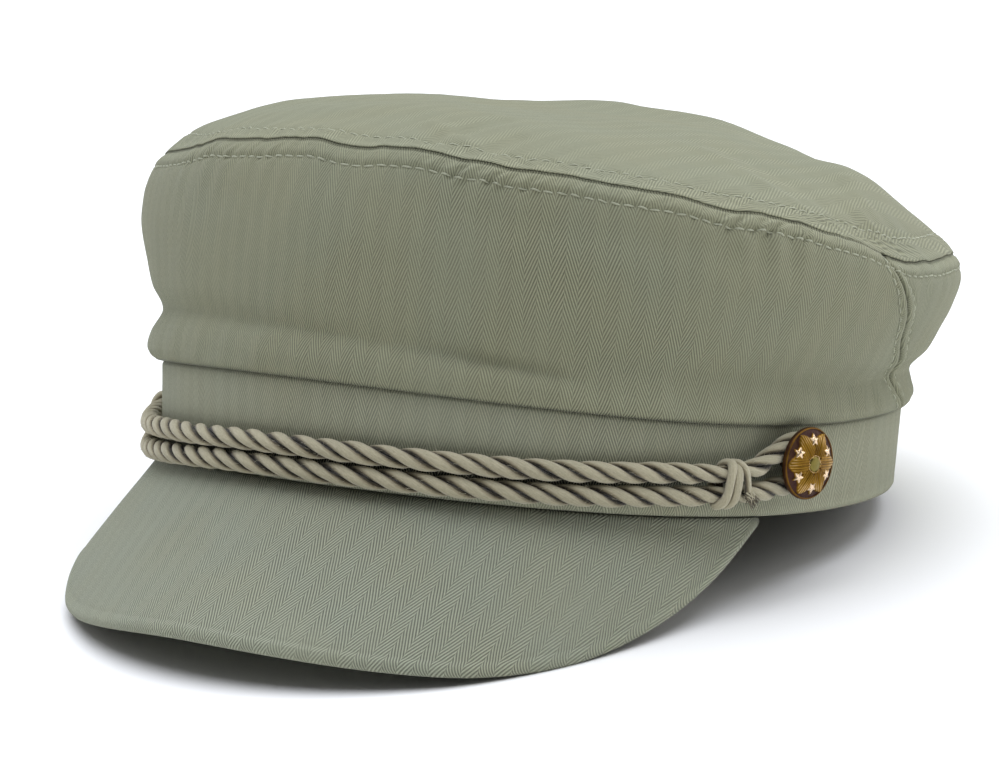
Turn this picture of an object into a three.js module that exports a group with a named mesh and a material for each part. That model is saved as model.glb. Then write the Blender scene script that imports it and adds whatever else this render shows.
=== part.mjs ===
// Breton fisherman cap: a soft cotton crown on a stiff band, a stitched visor, a twisted cord
// across the front and a metal button at each end of the cord.
// Millimetres, +Z up, the front of the cap towards -Y and the wearer's left towards +X.
// The cap is first modelled level, its rim's back half in the plane z = 0, and is then tipped
// until it rests on the visor's corners and the back of the rim.
import * as THREE from 'three';

// Band, an upright oval wall
const BAND_HALF_LENGTH = 102;
const BAND_HALF_WIDTH = 86;
const BAND_HEIGHT = 20.9;
const BAND_WALL = 2.5;
const BAND_FLARE = 0.8;
const BAND_CHAMFER = 0.5;
const BROW_RISE_LOW = 5.3;
const BROW_RISE_HIGH = 7.9;

// Crown: the tip is the top panel, and its seam is the edge that the side panels are sewn to
const CLOTH_THICKNESS = 1.6;
const TIP_HALF_LENGTH = 102.2;
const TIP_HALF_WIDTH = 96.5;
const TIP_BACK_SHIFT = 6.3;
const TIP_SEAM_HEIGHT = 67.2;
const TIP_FRONT_LIFT = 11.8;
const TIP_END_LIFT = 4.2;
const DOME_HEIGHT = 21.4;
const DOME_POWER = 4.5;
const DOME_BACK_LEAN = 0.49;
const DOME_RIGHT_LEAN = 0.22;
const SIDE_PUFF_DEPTH = 6.5;
const TIP_FOLD_HEIGHT = 3.2;
const FOLD_EDGE_FADE = 0.2;
const BAND_OVERHANG_WIDTH = 1.6;
const SEAM_TURN_WIDTH = 1.5;
const SEAM_TURN_SHARE = 0.07;
const SIDE_SEAM_LOWER_ANGLE = 108;
const SIDE_SEAM_UPPER_ANGLE = 84;

// Visor
const VISOR_LENGTH = 48.5;
const VISOR_THICKNESS = 3;
const VISOR_EDGE_ROUND = 0.9;
const VISOR_END_THICKNESS = 1.4;
const VISOR_HALF_ANGLE = 72;
const VISOR_FORWARD_SHARE = 0.78;

// Cord and the knots that slide on it
const CORD_RADIUS = 2.4;
const CORD_LAY = 23;
const CORD_STRANDS = 3;
const CORD_PUSH_AT_BUTTON = 0.3;
const KNOT_STRAND_RADIUS = 1;
const KNOT_STRAND_HALF_WIDTH = 1.5;
const KNOT_TURNS = 2;
const KNOT_LEFT_ANGLE = 64;
const KNOT_RIGHT_ANGLE = -66;
const KNOT_SQUARENESS = 3;
const KNOT_END_ANGLE = 3.5;

// Buttons
const BUTTON_RADIUS = 8.7;
const BUTTON_DOME = 1.6;
const BUTTON_RIM = 1;
const BUTTON_RELIEF = 0.5;
const BUTTON_BOSS_RADIUS = 1.7;
const BUTTON_BOSS_FOOT = 0.4;
const BUTTON_RAYS = 8;
const SHANK_RADIUS = 2;
const BUTTON_ANGLE = 76;
const BUTTON_HEIGHT_SHARE = 0.63;

// Gap that neighbouring pieces keep
const GAP = 0.3;

// Numbers of steps that the surfaces are divided into
const BAND_STEPS = 72;
const FRONT_PANEL_STEPS = 52;
const BACK_PANEL_STEPS = 34;
const TIP_STEPS = 56;
const VISOR_STEPS = 40;
const CORD_STEPS_PER_TURN = 6;
const CORD_WRAP_STEPS = 240;
const KNOT_STEPS_PER_TURN = 12;
const KNOT_SIDES = 7;
const BUTTON_STEPS = 24;

// How far the side of the crown stands out from the straight line between band and tip, in
// shares of SIDE_PUFF_DEPTH: up is the share of the way up, and the other columns say where
// round the cap
const SIDE_PROFILE = [
  { up: 0.00, front: 0.00, left: 0.00, back: 0.00, right: 0.00 },
  { up: 0.02, front: 0.10, left: 0.06, back: 0.04, right: 0.26 },
  { up: 0.06, front: 0.14, left: 0.04, back: 0.02, right: 0.40 },
  { up: 0.14, front: 0.12, left: -0.22, back: -0.14, right: 0.16 },
  { up: 0.24, front: 0.10, left: -0.40, back: -0.30, right: -0.38 },
  { up: 0.36, front: 0.28, left: 0.08, back: 0.10, right: 0.28 },
  { up: 0.52, front: 0.46, left: 0.34, back: 0.38, right: 0.72 },
  { up: 0.68, front: 0.52, left: 0.60, back: 0.52, right: 1.04 },
  { up: 0.84, front: 0.44, left: 0.60, back: 0.52, right: 0.92 },
  { up: 0.94, front: 0.24, left: 0.32, back: 0.28, right: 0.50 },
  { up: 1.00, front: 0.00, left: 0.00, back: 0.00, right: 0.00 },
];

// Creases and rolls in the side of the crown: angle and halfAngle in degrees, up and halfUp as
// shares of the way up, lean as up per degree, depth as a share of SIDE_PUFF_DEPTH, outwards positive
const SIDE_FOLDS = [
  { name: 'long crease', angle: -6, halfAngle: 38, up: 0.215, halfUp: 0.05, lean: -0.0016, depth: -0.17 },
  { name: 'crease end', angle: 29, halfAngle: 9, up: 0.175, halfUp: 0.04, lean: -0.0040, depth: -0.20 },
  { name: 'roll under crease', angle: -4, halfAngle: 40, up: 0.10, halfUp: 0.05, lean: -0.0012, depth: 0.09 },
  { name: 'left seam hollow', angle: 96, halfAngle: 6, up: 0.50, halfUp: 0.30, lean: 0.0000, depth: -0.20 },
];

// Soft ridges and hollows in the tip, each along a line from one point to another: the points
// are shares of the tip's half width and half length, halfWidth is a share of the half width,
// and height is a share of TIP_FOLD_HEIGHT
const TIP_FOLDS = [
  { name: 'left ridge', fromX: 0.99, fromY: -0.12, toX: 0.74, toY: 0.26, halfWidth: 0.07, height: 0.55 },
  { name: 'ridge hollow', fromX: 0.8, fromY: -0.28, toX: 0.45, toY: 0.3, halfWidth: 0.12, height: -0.45 },
  { name: 'front hollow', fromX: -0.3, fromY: -0.86, toX: 0.35, toY: -0.8, halfWidth: 0.09, height: -0.3 },
  { name: 'corner', fromX: -0.86, fromY: -0.42, toX: -0.7, toY: -0.52, halfWidth: 0.08, height: -0.45 },
  { name: 'right swell', fromX: -0.4, fromY: -0.12, toX: -0.24, toY: 0.34, halfWidth: 0.13, height: 0.32 },
  { name: 'back swell', fromX: -0.1, fromY: 0.44, toX: 0.14, toY: 0.48, halfWidth: 0.13, height: 0.7 },
  { name: 'right front swell', fromX: -0.6, fromY: -0.68, toX: -0.5, toY: -0.54, halfWidth: 0.08, height: 0.35 },
];

// Outline of the visor: at an angle round the rim, how far its edge lies from the rim, as a share of
// VISOR_LENGTH, and how steeply it slopes down there, in degrees
const VISOR_OUTLINE = [
  { angle: -72, reach: 0.031, slope: 58 },
  { angle: -66, reach: 0.289, slope: 59 },
  { angle: -58, reach: 0.577, slope: 53 },
  { angle: -48, reach: 0.701, slope: 44 },
  { angle: -34, reach: 0.928, slope: 45 },
  { angle: 0, reach: 1, slope: 38 },
  { angle: 34, reach: 0.959, slope: 43 },
  { angle: 48, reach: 0.804, slope: 49 },
  { angle: 58, reach: 0.577, slope: 54 },
  { angle: 66, reach: 0.309, slope: 58 },
  { angle: 72, reach: 0.031, slope: 58 },
];

// Rings of the tip, from its middle to its seam, as shares of the way out
const TIP_RINGS = [0.12, 0.32, 0.52, 0.68, 0.80, 0.90, 0.97, 1];

// Rings of the button's head that its rays pass through, as shares of its radius
const BUTTON_RAY_RINGS = [0.8, 0.6, 0.4];

// Heights of the cord's two runs above the rim, as shares of BAND_HEIGHT, and how far it is
// pushed off the band, as a share of the knot strand's thickness
const CORD_ROUTE = [
  { angle: KNOT_RIGHT_ANGLE - KNOT_END_ANGLE, lower: 0.220, upper: 0.475, push: 0.6 },
  { angle: KNOT_RIGHT_ANGLE, lower: 0.180, upper: 0.435, push: 1 },
  { angle: -56, lower: 0.095, upper: 0.360, push: 0.3 },
  { angle: -46, lower: 0.055, upper: 0.335, push: 0 },
  { angle: -34, lower: 0.075, upper: 0.350, push: 0 },
  { angle: -20, lower: 0.115, upper: 0.370, push: 0 },
  { angle: -7, lower: 0.150, upper: 0.402, push: 0 },
  { angle: 18, lower: 0.165, upper: 0.420, push: 0 },
  { angle: 41, lower: 0.190, upper: 0.445, push: 0 },
  { angle: 55, lower: 0.240, upper: 0.495, push: 0.4 },
  { angle: KNOT_LEFT_ANGLE, lower: 0.275, upper: 0.530, push: 1 },
  { angle: KNOT_LEFT_ANGLE + KNOT_END_ANGLE, lower: 0.300, upper: 0.555, push: 0.9 },
];

// Places round a button's shank, in degrees, that the cord's loop passes through
const SHANK_LOOP_TURNS = [-90, -50, 0, 50, 90];

// Outline of one of the cord's strands: turn in degrees, out as a share of CORD_RADIUS
const STRAND_OUTLINE = [
  { turn: 0, out: 0.74 },
  { turn: 38, out: 0.97 },
  { turn: 82, out: 0.97 },
];

const radians = THREE.MathUtils.degToRad;
const UP = new THREE.Vector3(0, 0, 1);

// Angles run round the cap from its front, 0, towards the wearer's left
function ovalPoint(angle, halfWidth, halfLength, height) {
  return new THREE.Vector3(halfWidth * Math.sin(angle), -halfLength * Math.cos(angle), height);
}

function bandNormal(angle) {
  const x = Math.sin(angle) / BAND_HALF_WIDTH;
  const y = -Math.cos(angle) / BAND_HALF_LENGTH;
  return new THREE.Vector3(x, y, 0).normalize();
}

// The rim arches up over the brow between the temples
function browRise(angle) {
  return Math.cos(angle) > 0 ? Math.cos(angle) ** 2 : 0;
}

function rimHeight(angle) {
  return BROW_RISE_LOW * browRise(angle);
}

function bandTopHeight(angle) {
  return BAND_HEIGHT + BROW_RISE_HIGH * browRise(angle);
}

// A point of the band's outer face, moved out by grow
function bandPoint(angle, height, grow) {
  const share = (height - rimHeight(angle)) / (bandTopHeight(angle) - rimHeight(angle));
  const out = BAND_FLARE * THREE.MathUtils.clamp(share, 0, 1) + grow;
  return ovalPoint(angle, BAND_HALF_WIDTH + out, BAND_HALF_LENGTH + out, height);
}

// Closed solid through rings of points, each ring a closed outline with as many points as the
// others. An open row of rings is closed by a face at each end.
function loft(rings, closed) {
  const ringSize = rings[0].length;
  const spans = closed ? rings.length : rings.length - 1;
  const vertices = rings.flat();
  const index = [];
  for (let i = 0; i < spans; i += 1) {
    const near = i * ringSize;
    const far = ((i + 1) % rings.length) * ringSize;
    for (let j = 0; j < ringSize; j += 1) {
      const next = (j + 1) % ringSize;
      index.push(near + j, near + next, far + next, near + j, far + next, far + j);
    }
  }
  if (!closed) {
    const last = (rings.length - 1) * ringSize;
    for (let j = 0; j < ringSize / 2 - 1; j += 1) {
      const a = j;
      const b = j + 1;
      const c = ringSize - 2 - j;
      const d = ringSize - 1 - j;
      index.push(a, d, b);
      index.push(last + a, last + b, last + d);
      if (b < c) {
        index.push(b, d, c);
        index.push(last + b, last + c, last + d);
      }
    }
  }
  const outward = signedVolume(vertices, index) > 0;
  const geometry = new THREE.BufferGeometry();
  const positions = vertices.flatMap((vertex) => vertex.toArray());
  geometry.setAttribute('position', new THREE.Float32BufferAttribute(positions, 3));
  geometry.setIndex(outward ? index : index.reverse());
  geometry.computeVertexNormals();
  return geometry;
}

function signedVolume(vertices, index) {
  let volume = 0;
  for (let i = 0; i < index.length; i += 3) {
    const [a, b, c] = [vertices[index[i]], vertices[index[i + 1]], vertices[index[i + 2]]];
    volume += a.dot(new THREE.Vector3().crossVectors(b, c)) / 6;
  }
  return volume;
}

// Value of a table's column at a place between its rows, on a smooth curve through them
function smoothTableValue(rows, keyColumn, key, column) {
  const last = rows.length - 1;
  const slopeAt = (i) => {
    const low = rows[Math.max(i - 1, 0)];
    const high = rows[Math.min(i + 1, last)];
    return (high[column] - low[column]) / (high[keyColumn] - low[keyColumn]);
  };
  const above = rows.findIndex((row) => row[keyColumn] >= key);
  const i = above < 0 ? last : Math.max(above, 1);
  const width = rows[i][keyColumn] - rows[i - 1][keyColumn];
  const t = THREE.MathUtils.clamp((key - rows[i - 1][keyColumn]) / width, 0, 1);
  const rise = rows[i][column] - rows[i - 1][column];
  const ends = slopeAt(i - 1) * width * (t ** 3 - 2 * t ** 2 + t) + slopeAt(i) * width * (t ** 3 - t ** 2);
  return rows[i - 1][column] + rise * (3 * t ** 2 - 2 * t ** 3) + ends;
}

// Value of a table's column at a place between its rows, nearly level at each row
function tableValue(rows, keyColumn, key, column) {
  const above = rows.findIndex((row) => row[keyColumn] >= key);
  if (above <= 0) return rows[above === 0 ? 0 : rows.length - 1][column];
  const low = rows[above - 1];
  const high = rows[above];
  const share = THREE.MathUtils.smoothstep(key, low[keyColumn], high[keyColumn]);
  const straight = (key - low[keyColumn]) / (high[keyColumn] - low[keyColumn]);
  return THREE.MathUtils.lerp(low[column], high[column], (share + straight) / 2);
}

function bell(distance) {
  return Math.exp(-distance * distance);
}

// Band
function makeBand() {
  const rings = [];
  for (let i = 0; i < BAND_STEPS; i += 1) {
    const angle = 2 * Math.PI * i / BAND_STEPS;
    const low = rimHeight(angle);
    const high = bandTopHeight(angle);
    rings.push([
      bandPoint(angle, low + BAND_CHAMFER, 0),
      bandPoint(angle, high - BAND_CHAMFER, 0),
      bandPoint(angle, high, -BAND_CHAMFER),
      bandPoint(angle, high, BAND_CHAMFER - BAND_WALL),
      bandPoint(angle, high - BAND_CHAMFER, -BAND_WALL),
      bandPoint(angle, low + BAND_CHAMFER, -BAND_WALL),
      bandPoint(angle, low, BAND_CHAMFER - BAND_WALL),
      bandPoint(angle, low, -BAND_CHAMFER),
    ]);
  }
  return loft(rings, true);
}

// Height of the tip's seam above the plane of the rim, at a share of the way out from its middle
function tipSeamHeight(angle, out) {
  const front = TIP_FRONT_LIFT * out * Math.cos(angle);
  const ends = TIP_END_LIFT * out * out * Math.cos(2 * angle);
  return TIP_SEAM_HEIGHT + front + ends;
}

// Distance of a point from the line of a fold, with both axes in shares of the tip's half width
function foldDistance(fold, x, y) {
  const lengthShare = TIP_HALF_LENGTH / TIP_HALF_WIDTH;
  const from = new THREE.Vector3(fold.fromX, fold.fromY * lengthShare, 0);
  const to = new THREE.Vector3(fold.toX, fold.toY * lengthShare, 0);
  const point = new THREE.Vector3(x, y * lengthShare, 0);
  const nearest = new THREE.Line3(from, to).closestPointToPoint(point, true, new THREE.Vector3());
  return nearest.distanceTo(point);
}

function tipPoint(angle, out) {
  const lean = DOME_BACK_LEAN * Math.cos(angle) + DOME_RIGHT_LEAN * Math.sin(angle);
  const dome = DOME_HEIGHT * (1 - out ** DOME_POWER) * (1 - lean * out);
  let folds = 0;
  for (const fold of TIP_FOLDS) {
    const distance = foldDistance(fold, out * Math.sin(angle), -out * Math.cos(angle));
    folds += TIP_FOLD_HEIGHT * fold.height * bell(distance / fold.halfWidth);
  }
  const flat = ovalPoint(angle, TIP_HALF_WIDTH * out, TIP_HALF_LENGTH * out, 0);
  flat.y += TIP_BACK_SHIFT;
  flat.z = tipSeamHeight(angle, out) + dome + folds * (1 - out ** DOME_POWER);
  return flat;
}

function makeTip() {
  const ring = (out, drop) => {
    const points = [];
    for (let i = 0; i < TIP_STEPS; i += 1) {
      points.push(tipPoint(2 * Math.PI * i / TIP_STEPS, out).addScaledVector(UP, -drop));
    }
    return points;
  };
  const outer = TIP_RINGS.map((out) => ring(out, 0));
  const inner = TIP_RINGS.map((out) => ring(out, CLOTH_THICKNESS)).reverse();
  return loft([...outer, ...inner], false);
}

// Outward swell of the side of the crown
function sideSwell(angle, up) {
  const front = Math.max(Math.cos(angle), 0) ** 2;
  const back = Math.max(-Math.cos(angle), 0) ** 2;
  const left = Math.max(Math.sin(angle), 0) ** 2;
  const right = Math.max(-Math.sin(angle), 0) ** 2;
  const value = (column) => tableValue(SIDE_PROFILE, 'up', up, column);
  const lengthways = front * value('front') + back * value('back');
  let swell = lengthways + left * value('left') + right * value('right');
  for (const fold of SIDE_FOLDS) {
    const turn = THREE.MathUtils.radToDeg(angle) - fold.angle;
    const rise = up - fold.up - fold.lean * turn;
    const fade = Math.sin(Math.PI * up) ** FOLD_EDGE_FADE;
    swell += fold.depth * bell(turn / fold.halfAngle) * bell(rise / fold.halfUp) * fade;
  }
  return SIDE_PUFF_DEPTH * swell;
}

// A point of the crown's side, inward of its outer face
function sidePoint(angle, up, inward) {
  const low = bandPoint(angle, bandTopHeight(angle), BAND_OVERHANG_WIDTH);
  low.z += GAP;
  const high = tipPoint(angle, 1);
  high.z -= CLOTH_THICKNESS + GAP;
  return low.lerp(high, up).addScaledVector(bandNormal(angle), sideSwell(angle, up) - inward);
}

// The wall's turned-in lower edge lies on top of the band
function sideWall(up) {
  const turnIn = Math.max(0, 1 - up / SEAM_TURN_SHARE);
  return CLOTH_THICKNESS + turnIn * (BAND_OVERHANG_WIDTH + SEAM_TURN_WIDTH - CLOTH_THICKNESS);
}

function sideSeamAngle(up) {
  return radians(THREE.MathUtils.lerp(SIDE_SEAM_LOWER_ANGLE, SIDE_SEAM_UPPER_ANGLE, up));
}

// A panel of the crown's side, between two lines that run from band to tip
function makeSidePanel(startAngle, endAngle, steps) {
  const rows = SIDE_PROFILE.map((row) => row.up);
  const rings = [];
  for (let i = 0; i <= steps; i += 1) {
    const point = (up, inward) => {
      const halfGap = GAP / 2 / BAND_HALF_WIDTH;
      const angle = THREE.MathUtils.lerp(startAngle(up) + halfGap, endAngle(up) - halfGap, i / steps);
      return sidePoint(angle, up, inward);
    };
    const outer = rows.map((up) => point(up, 0));
    const inner = rows.map((up) => point(up, sideWall(up))).reverse();
    rings.push([...outer, ...inner]);
  }
  return loft(rings, false);
}

// Visor: straight from the rim to its edge at every angle
function visorRay(angle) {
  const across = Math.abs(angle) / radians(VISOR_HALF_ANGLE);
  const degrees = THREE.MathUtils.radToDeg(angle);
  const slope = radians(smoothTableValue(VISOR_OUTLINE, 'angle', degrees, 'slope'));
  const length = VISOR_LENGTH * smoothTableValue(VISOR_OUTLINE, 'angle', degrees, 'reach');
  const thickness = THREE.MathUtils.lerp(VISOR_THICKNESS, VISOR_END_THICKNESS, across ** 8);
  const forward = new THREE.Vector3(0, -1, 0).multiplyScalar(VISOR_FORWARD_SHARE);
  const level = bandNormal(angle).multiplyScalar(1 - VISOR_FORWARD_SHARE).add(forward).normalize();
  const along = level.clone().multiplyScalar(Math.cos(slope)).addScaledVector(UP, -Math.sin(slope));
  const under = level.clone().multiplyScalar(-Math.sin(slope)).addScaledVector(UP, -Math.cos(slope));
  return { length, thickness, along, under };
}

function visorPoint(angle, distance, depth) {
  const { along, under } = visorRay(angle);
  const rim = bandPoint(angle, rimHeight(angle) - GAP, 0);
  return rim.addScaledVector(along, distance).addScaledVector(under, depth);
}

function visorAngle(step) {
  return radians(VISOR_HALF_ANGLE) * Math.sin(Math.PI * (step / VISOR_STEPS - 0.5));
}

function makeVisor() {
  const rings = [];
  for (let i = 0; i <= VISOR_STEPS; i += 1) {
    const angle = visorAngle(i);
    const { length, thickness } = visorRay(angle);
    const round = VISOR_EDGE_ROUND * thickness / VISOR_THICKNESS;
    const seatTop = bandPoint(angle, rimHeight(angle) - GAP, -BAND_WALL);
    const seatBottom = seatTop.clone().addScaledVector(UP, -thickness);
    rings.push([
      visorPoint(angle, 0, 0),
      visorPoint(angle, length - round, 0),
      visorPoint(angle, length, round),
      visorPoint(angle, length, thickness - round),
      visorPoint(angle, length - round, thickness),
      visorPoint(angle, 0, thickness).lerp(seatBottom, 0.5),
      seatBottom,
      seatTop,
    ]);
  }
  return loft(rings, false);
}

// Cord: one loop of it passes round the shanks of both buttons
function cordStandOff(push) {
  return CORD_RADIUS + GAP + push * (2 * KNOT_STRAND_RADIUS + GAP);
}

// The route is drawn flat, as way round the band, height above the rim and distance from the
// band, and is then wrapped round the band
function cordCurve() {
  const shankLoop = SHANK_RADIUS + GAP + CORD_RADIUS;
  const wayRound = BAND_HALF_LENGTH;
  const flat = [];
  const add = (angleDegrees, aboveRim, push) => {
    flat.push(new THREE.Vector3(wayRound * radians(angleDegrees), aboveRim, cordStandOff(push)));
  };
  const loop = (side) => {
    for (const turn of SHANK_LOOP_TURNS) {
      const along = THREE.MathUtils.radToDeg(shankLoop / wayRound) * Math.cos(radians(turn));
      const height = BAND_HEIGHT * BUTTON_HEIGHT_SHARE + shankLoop * Math.sin(radians(turn)) * side;
      add(side * (BUTTON_ANGLE + along), height, CORD_PUSH_AT_BUTTON);
    }
  };
  for (const row of CORD_ROUTE) add(row.angle, BAND_HEIGHT * row.lower, row.push);
  loop(1);
  for (const row of [...CORD_ROUTE].reverse()) add(row.angle, BAND_HEIGHT * row.upper, row.push);
  loop(-1);
  const flatCurve = new THREE.CatmullRomCurve3(flat, true, 'centripetal');
  const wrapped = flatCurve.getPoints(CORD_WRAP_STEPS).slice(0, -1).map((point) => {
    const angle = point.x / wayRound;
    return bandPoint(angle, rimHeight(angle) + point.y, point.z);
  });
  return new THREE.CatmullRomCurve3(wrapped, true, 'centripetal');
}

// Axes of a section of a strand that lies on the band, with the first one pointing off the band
function sectionAxes(point, tangent) {
  const angle = Math.atan2(point.x / BAND_HALF_WIDTH, -point.y / BAND_HALF_LENGTH);
  const off = bandNormal(angle);
  off.addScaledVector(tangent, -off.dot(tangent)).normalize();
  return { off, cross: new THREE.Vector3().crossVectors(tangent, off) };
}

function makeCord() {
  const curve = cordCurve();
  const turns = Math.round(curve.getLength() / CORD_LAY);
  const steps = turns * CORD_STEPS_PER_TURN;
  const rings = [];
  for (let i = 0; i < steps; i += 1) {
    const point = curve.getPointAt(i / steps);
    const { off, cross } = sectionAxes(point, curve.getTangentAt(i / steps));
    const twist = 2 * Math.PI * turns * i / steps;
    const ring = [];
    for (let strand = 0; strand < CORD_STRANDS; strand += 1) {
      for (const { turn, out } of STRAND_OUTLINE) {
        const angle = twist + radians(turn) + 2 * Math.PI * strand / CORD_STRANDS;
        const radius = CORD_RADIUS * out;
        ring.push(point.clone().addScaledVector(off, radius * Math.cos(angle))
          .addScaledVector(cross, radius * Math.sin(angle)));
      }
    }
    rings.push(ring);
  }
  return loft(rings, true);
}

// Knot: a flattened strand wound round both runs of the cord
function makeKnot(side) {
  const degrees = side > 0 ? KNOT_LEFT_ANGLE : KNOT_RIGHT_ANGLE;
  const knotRow = CORD_ROUTE.find((row) => row.angle === degrees);
  const angle = radians(degrees);
  const lower = BAND_HEIGHT * knotRow.lower;
  const upper = BAND_HEIGHT * knotRow.upper;
  const height = rimHeight(angle) + (lower + upper) / 2;
  const middle = bandPoint(angle, height, cordStandOff(knotRow.push));
  const off = bandNormal(angle);
  const along = new THREE.Vector3().crossVectors(UP, off).multiplyScalar(side);
  const reach = CORD_RADIUS + GAP + KNOT_STRAND_RADIUS;
  const pitch = 2 * KNOT_STRAND_HALF_WIDTH + GAP;
  const halfSpread = (upper - lower) / 2;
  const centre = (share) => {
    const turn = 2 * Math.PI * KNOT_TURNS * share + Math.PI;
    const spread = halfSpread * Math.tanh(KNOT_SQUARENESS * Math.sin(turn));
    return middle.clone()
      .addScaledVector(off, reach * Math.cos(turn))
      .addScaledVector(UP, spread + reach * Math.sin(turn))
      .addScaledVector(along, pitch * KNOT_TURNS * (share - 0.5));
  };
  const steps = KNOT_TURNS * KNOT_STEPS_PER_TURN;
  const curve = new THREE.CatmullRomCurve3([...Array(steps + 1).keys()].map((i) => centre(i / steps)));
  const rings = [];
  for (let i = 0; i <= steps; i += 1) {
    const point = curve.getPoint(i / steps);
    const tangent = curve.getTangent(i / steps);
    const first = along.clone().addScaledVector(tangent, -along.dot(tangent)).normalize();
    const second = new THREE.Vector3().crossVectors(tangent, first);
    const ring = [];
    for (let k = 0; k < KNOT_SIDES; k += 1) {
      const turn = 2 * Math.PI * k / KNOT_SIDES;
      ring.push(point.clone().addScaledVector(first, KNOT_STRAND_HALF_WIDTH * Math.cos(turn))
        .addScaledVector(second, KNOT_STRAND_RADIUS * Math.sin(turn)));
    }
    rings.push(ring);
  }
  return loft(rings, false);
}

// Button: domed head with raised rays round a boss, on a plain shank that ends at the band
function makeButton() {
  const shankLength = 2 * (CORD_RADIUS + GAP) + KNOT_STRAND_RADIUS;
  const ring = (radius, height, relief) => {
    const points = [];
    for (let i = 0; i < BUTTON_STEPS; i += 1) {
      const turn = 2 * Math.PI * i / BUTTON_STEPS;
      const ray = Math.cos(BUTTON_RAYS * turn) > 0.5 ? relief : 0;
      points.push(new THREE.Vector3(radius * Math.cos(turn), radius * Math.sin(turn), height + ray));
    }
    return points;
  };
  const domeHeight = (radius) => {
    return shankLength + BUTTON_RIM + BUTTON_DOME * (1 - (radius / BUTTON_RADIUS) ** 2);
  };
  const rings = [
    ring(SHANK_RADIUS, GAP, 0),
    ring(SHANK_RADIUS, shankLength, 0),
    ring(BUTTON_RADIUS - BUTTON_RIM / 2, shankLength, 0),
    ring(BUTTON_RADIUS, shankLength + BUTTON_RIM / 2, 0),
    ring(BUTTON_RADIUS, shankLength + BUTTON_RIM, 0),
    ring(BUTTON_RADIUS - BUTTON_RIM, domeHeight(BUTTON_RADIUS - BUTTON_RIM), 0),
  ];
  for (const share of BUTTON_RAY_RINGS) {
    rings.push(ring(BUTTON_RADIUS * share, domeHeight(BUTTON_RADIUS * share), BUTTON_RELIEF));
  }
  rings.push(ring(BUTTON_BOSS_RADIUS + BUTTON_BOSS_FOOT, domeHeight(BUTTON_BOSS_RADIUS), 0));
  rings.push(ring(BUTTON_BOSS_RADIUS, domeHeight(BUTTON_BOSS_RADIUS) + BUTTON_RELIEF, 0));
  rings.push(ring(BUTTON_BOSS_RADIUS / 2, domeHeight(0) + BUTTON_RELIEF, 0));
  return loft(rings, false);
}

// The tip angle at which the visor's corners and the back of the rim touch one level surface
function restingPitch() {
  const back = bandPoint(Math.PI, 0, 0);
  let pitch = 0;
  for (let i = 0; i <= VISOR_STEPS; i += 1) {
    const angle = visorAngle(i);
    const { length, thickness } = visorRay(angle);
    const edge = visorPoint(angle, length - VISOR_EDGE_ROUND, thickness);
    pitch = Math.max(pitch, Math.atan2(back.z - edge.z, back.y - edge.y));
  }
  return pitch;
}

const clothMaterial = new THREE.MeshStandardMaterial({ color: 0x80836f, roughness: 0.92, metalness: 0 });
const bandMaterial = new THREE.MeshStandardMaterial({ color: 0x86897a, roughness: 0.92, metalness: 0 });
const visorMaterial = new THREE.MeshStandardMaterial({ color: 0x8c9282, roughness: 0.9, metalness: 0 });
const cordMaterial = new THREE.MeshStandardMaterial({ color: 0x8f8878, roughness: 0.95, metalness: 0 });
const brassMaterial = new THREE.MeshStandardMaterial({ color: 0x7a5a2c, roughness: 0.4, metalness: 0.9 });

const level = new THREE.Group();
level.rotation.x = -restingPitch();

function add(name, geometry, material) {
  const mesh = new THREE.Mesh(geometry, material);
  mesh.name = name;
  level.add(mesh);
  return mesh;
}

const rightSeam = (up) => -sideSeamAngle(up);
const leftSeam = (up) => sideSeamAngle(up);
const rightSeamFromBehind = (up) => 2 * Math.PI - sideSeamAngle(up);

add('crown_tip', makeTip(), clothMaterial);
add('crown_front_panel', makeSidePanel(rightSeam, leftSeam, FRONT_PANEL_STEPS), clothMaterial);
add('crown_back_panel', makeSidePanel(leftSeam, rightSeamFromBehind, BACK_PANEL_STEPS), clothMaterial);
add('band', makeBand(), bandMaterial);
add('visor', makeVisor(), visorMaterial);
add('cord', makeCord(), cordMaterial);
for (const [name, side] of [['left', 1], ['right', -1]]) {
  add(`knot_${name}`, makeKnot(side), cordMaterial);
  const button = add(`button_${name}`, makeButton(), brassMaterial);
  const angle = radians(side * BUTTON_ANGLE);
  button.position.copy(bandPoint(angle, rimHeight(angle) + BAND_HEIGHT * BUTTON_HEIGHT_SHARE, 0));
  button.quaternion.setFromUnitVectors(UP, bandNormal(angle));
}

// Origin below the middle of the whole cap, on the surface that it rests on
const cap = new THREE.Group();
cap.add(level);
cap.updateMatrixWorld(true);
const bounds = new THREE.Box3().setFromObject(cap, true);
const middle = bounds.getCenter(new THREE.Vector3());
level.position.set(-middle.x, -middle.y, -bounds.min.z);

export default cap;
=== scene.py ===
"""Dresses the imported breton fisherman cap: sewn herringbone cloth, twisted cord, knots and brass buttons."""
import math
import bpy
import numpy as np
from mathutils import Matrix, Vector


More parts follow.
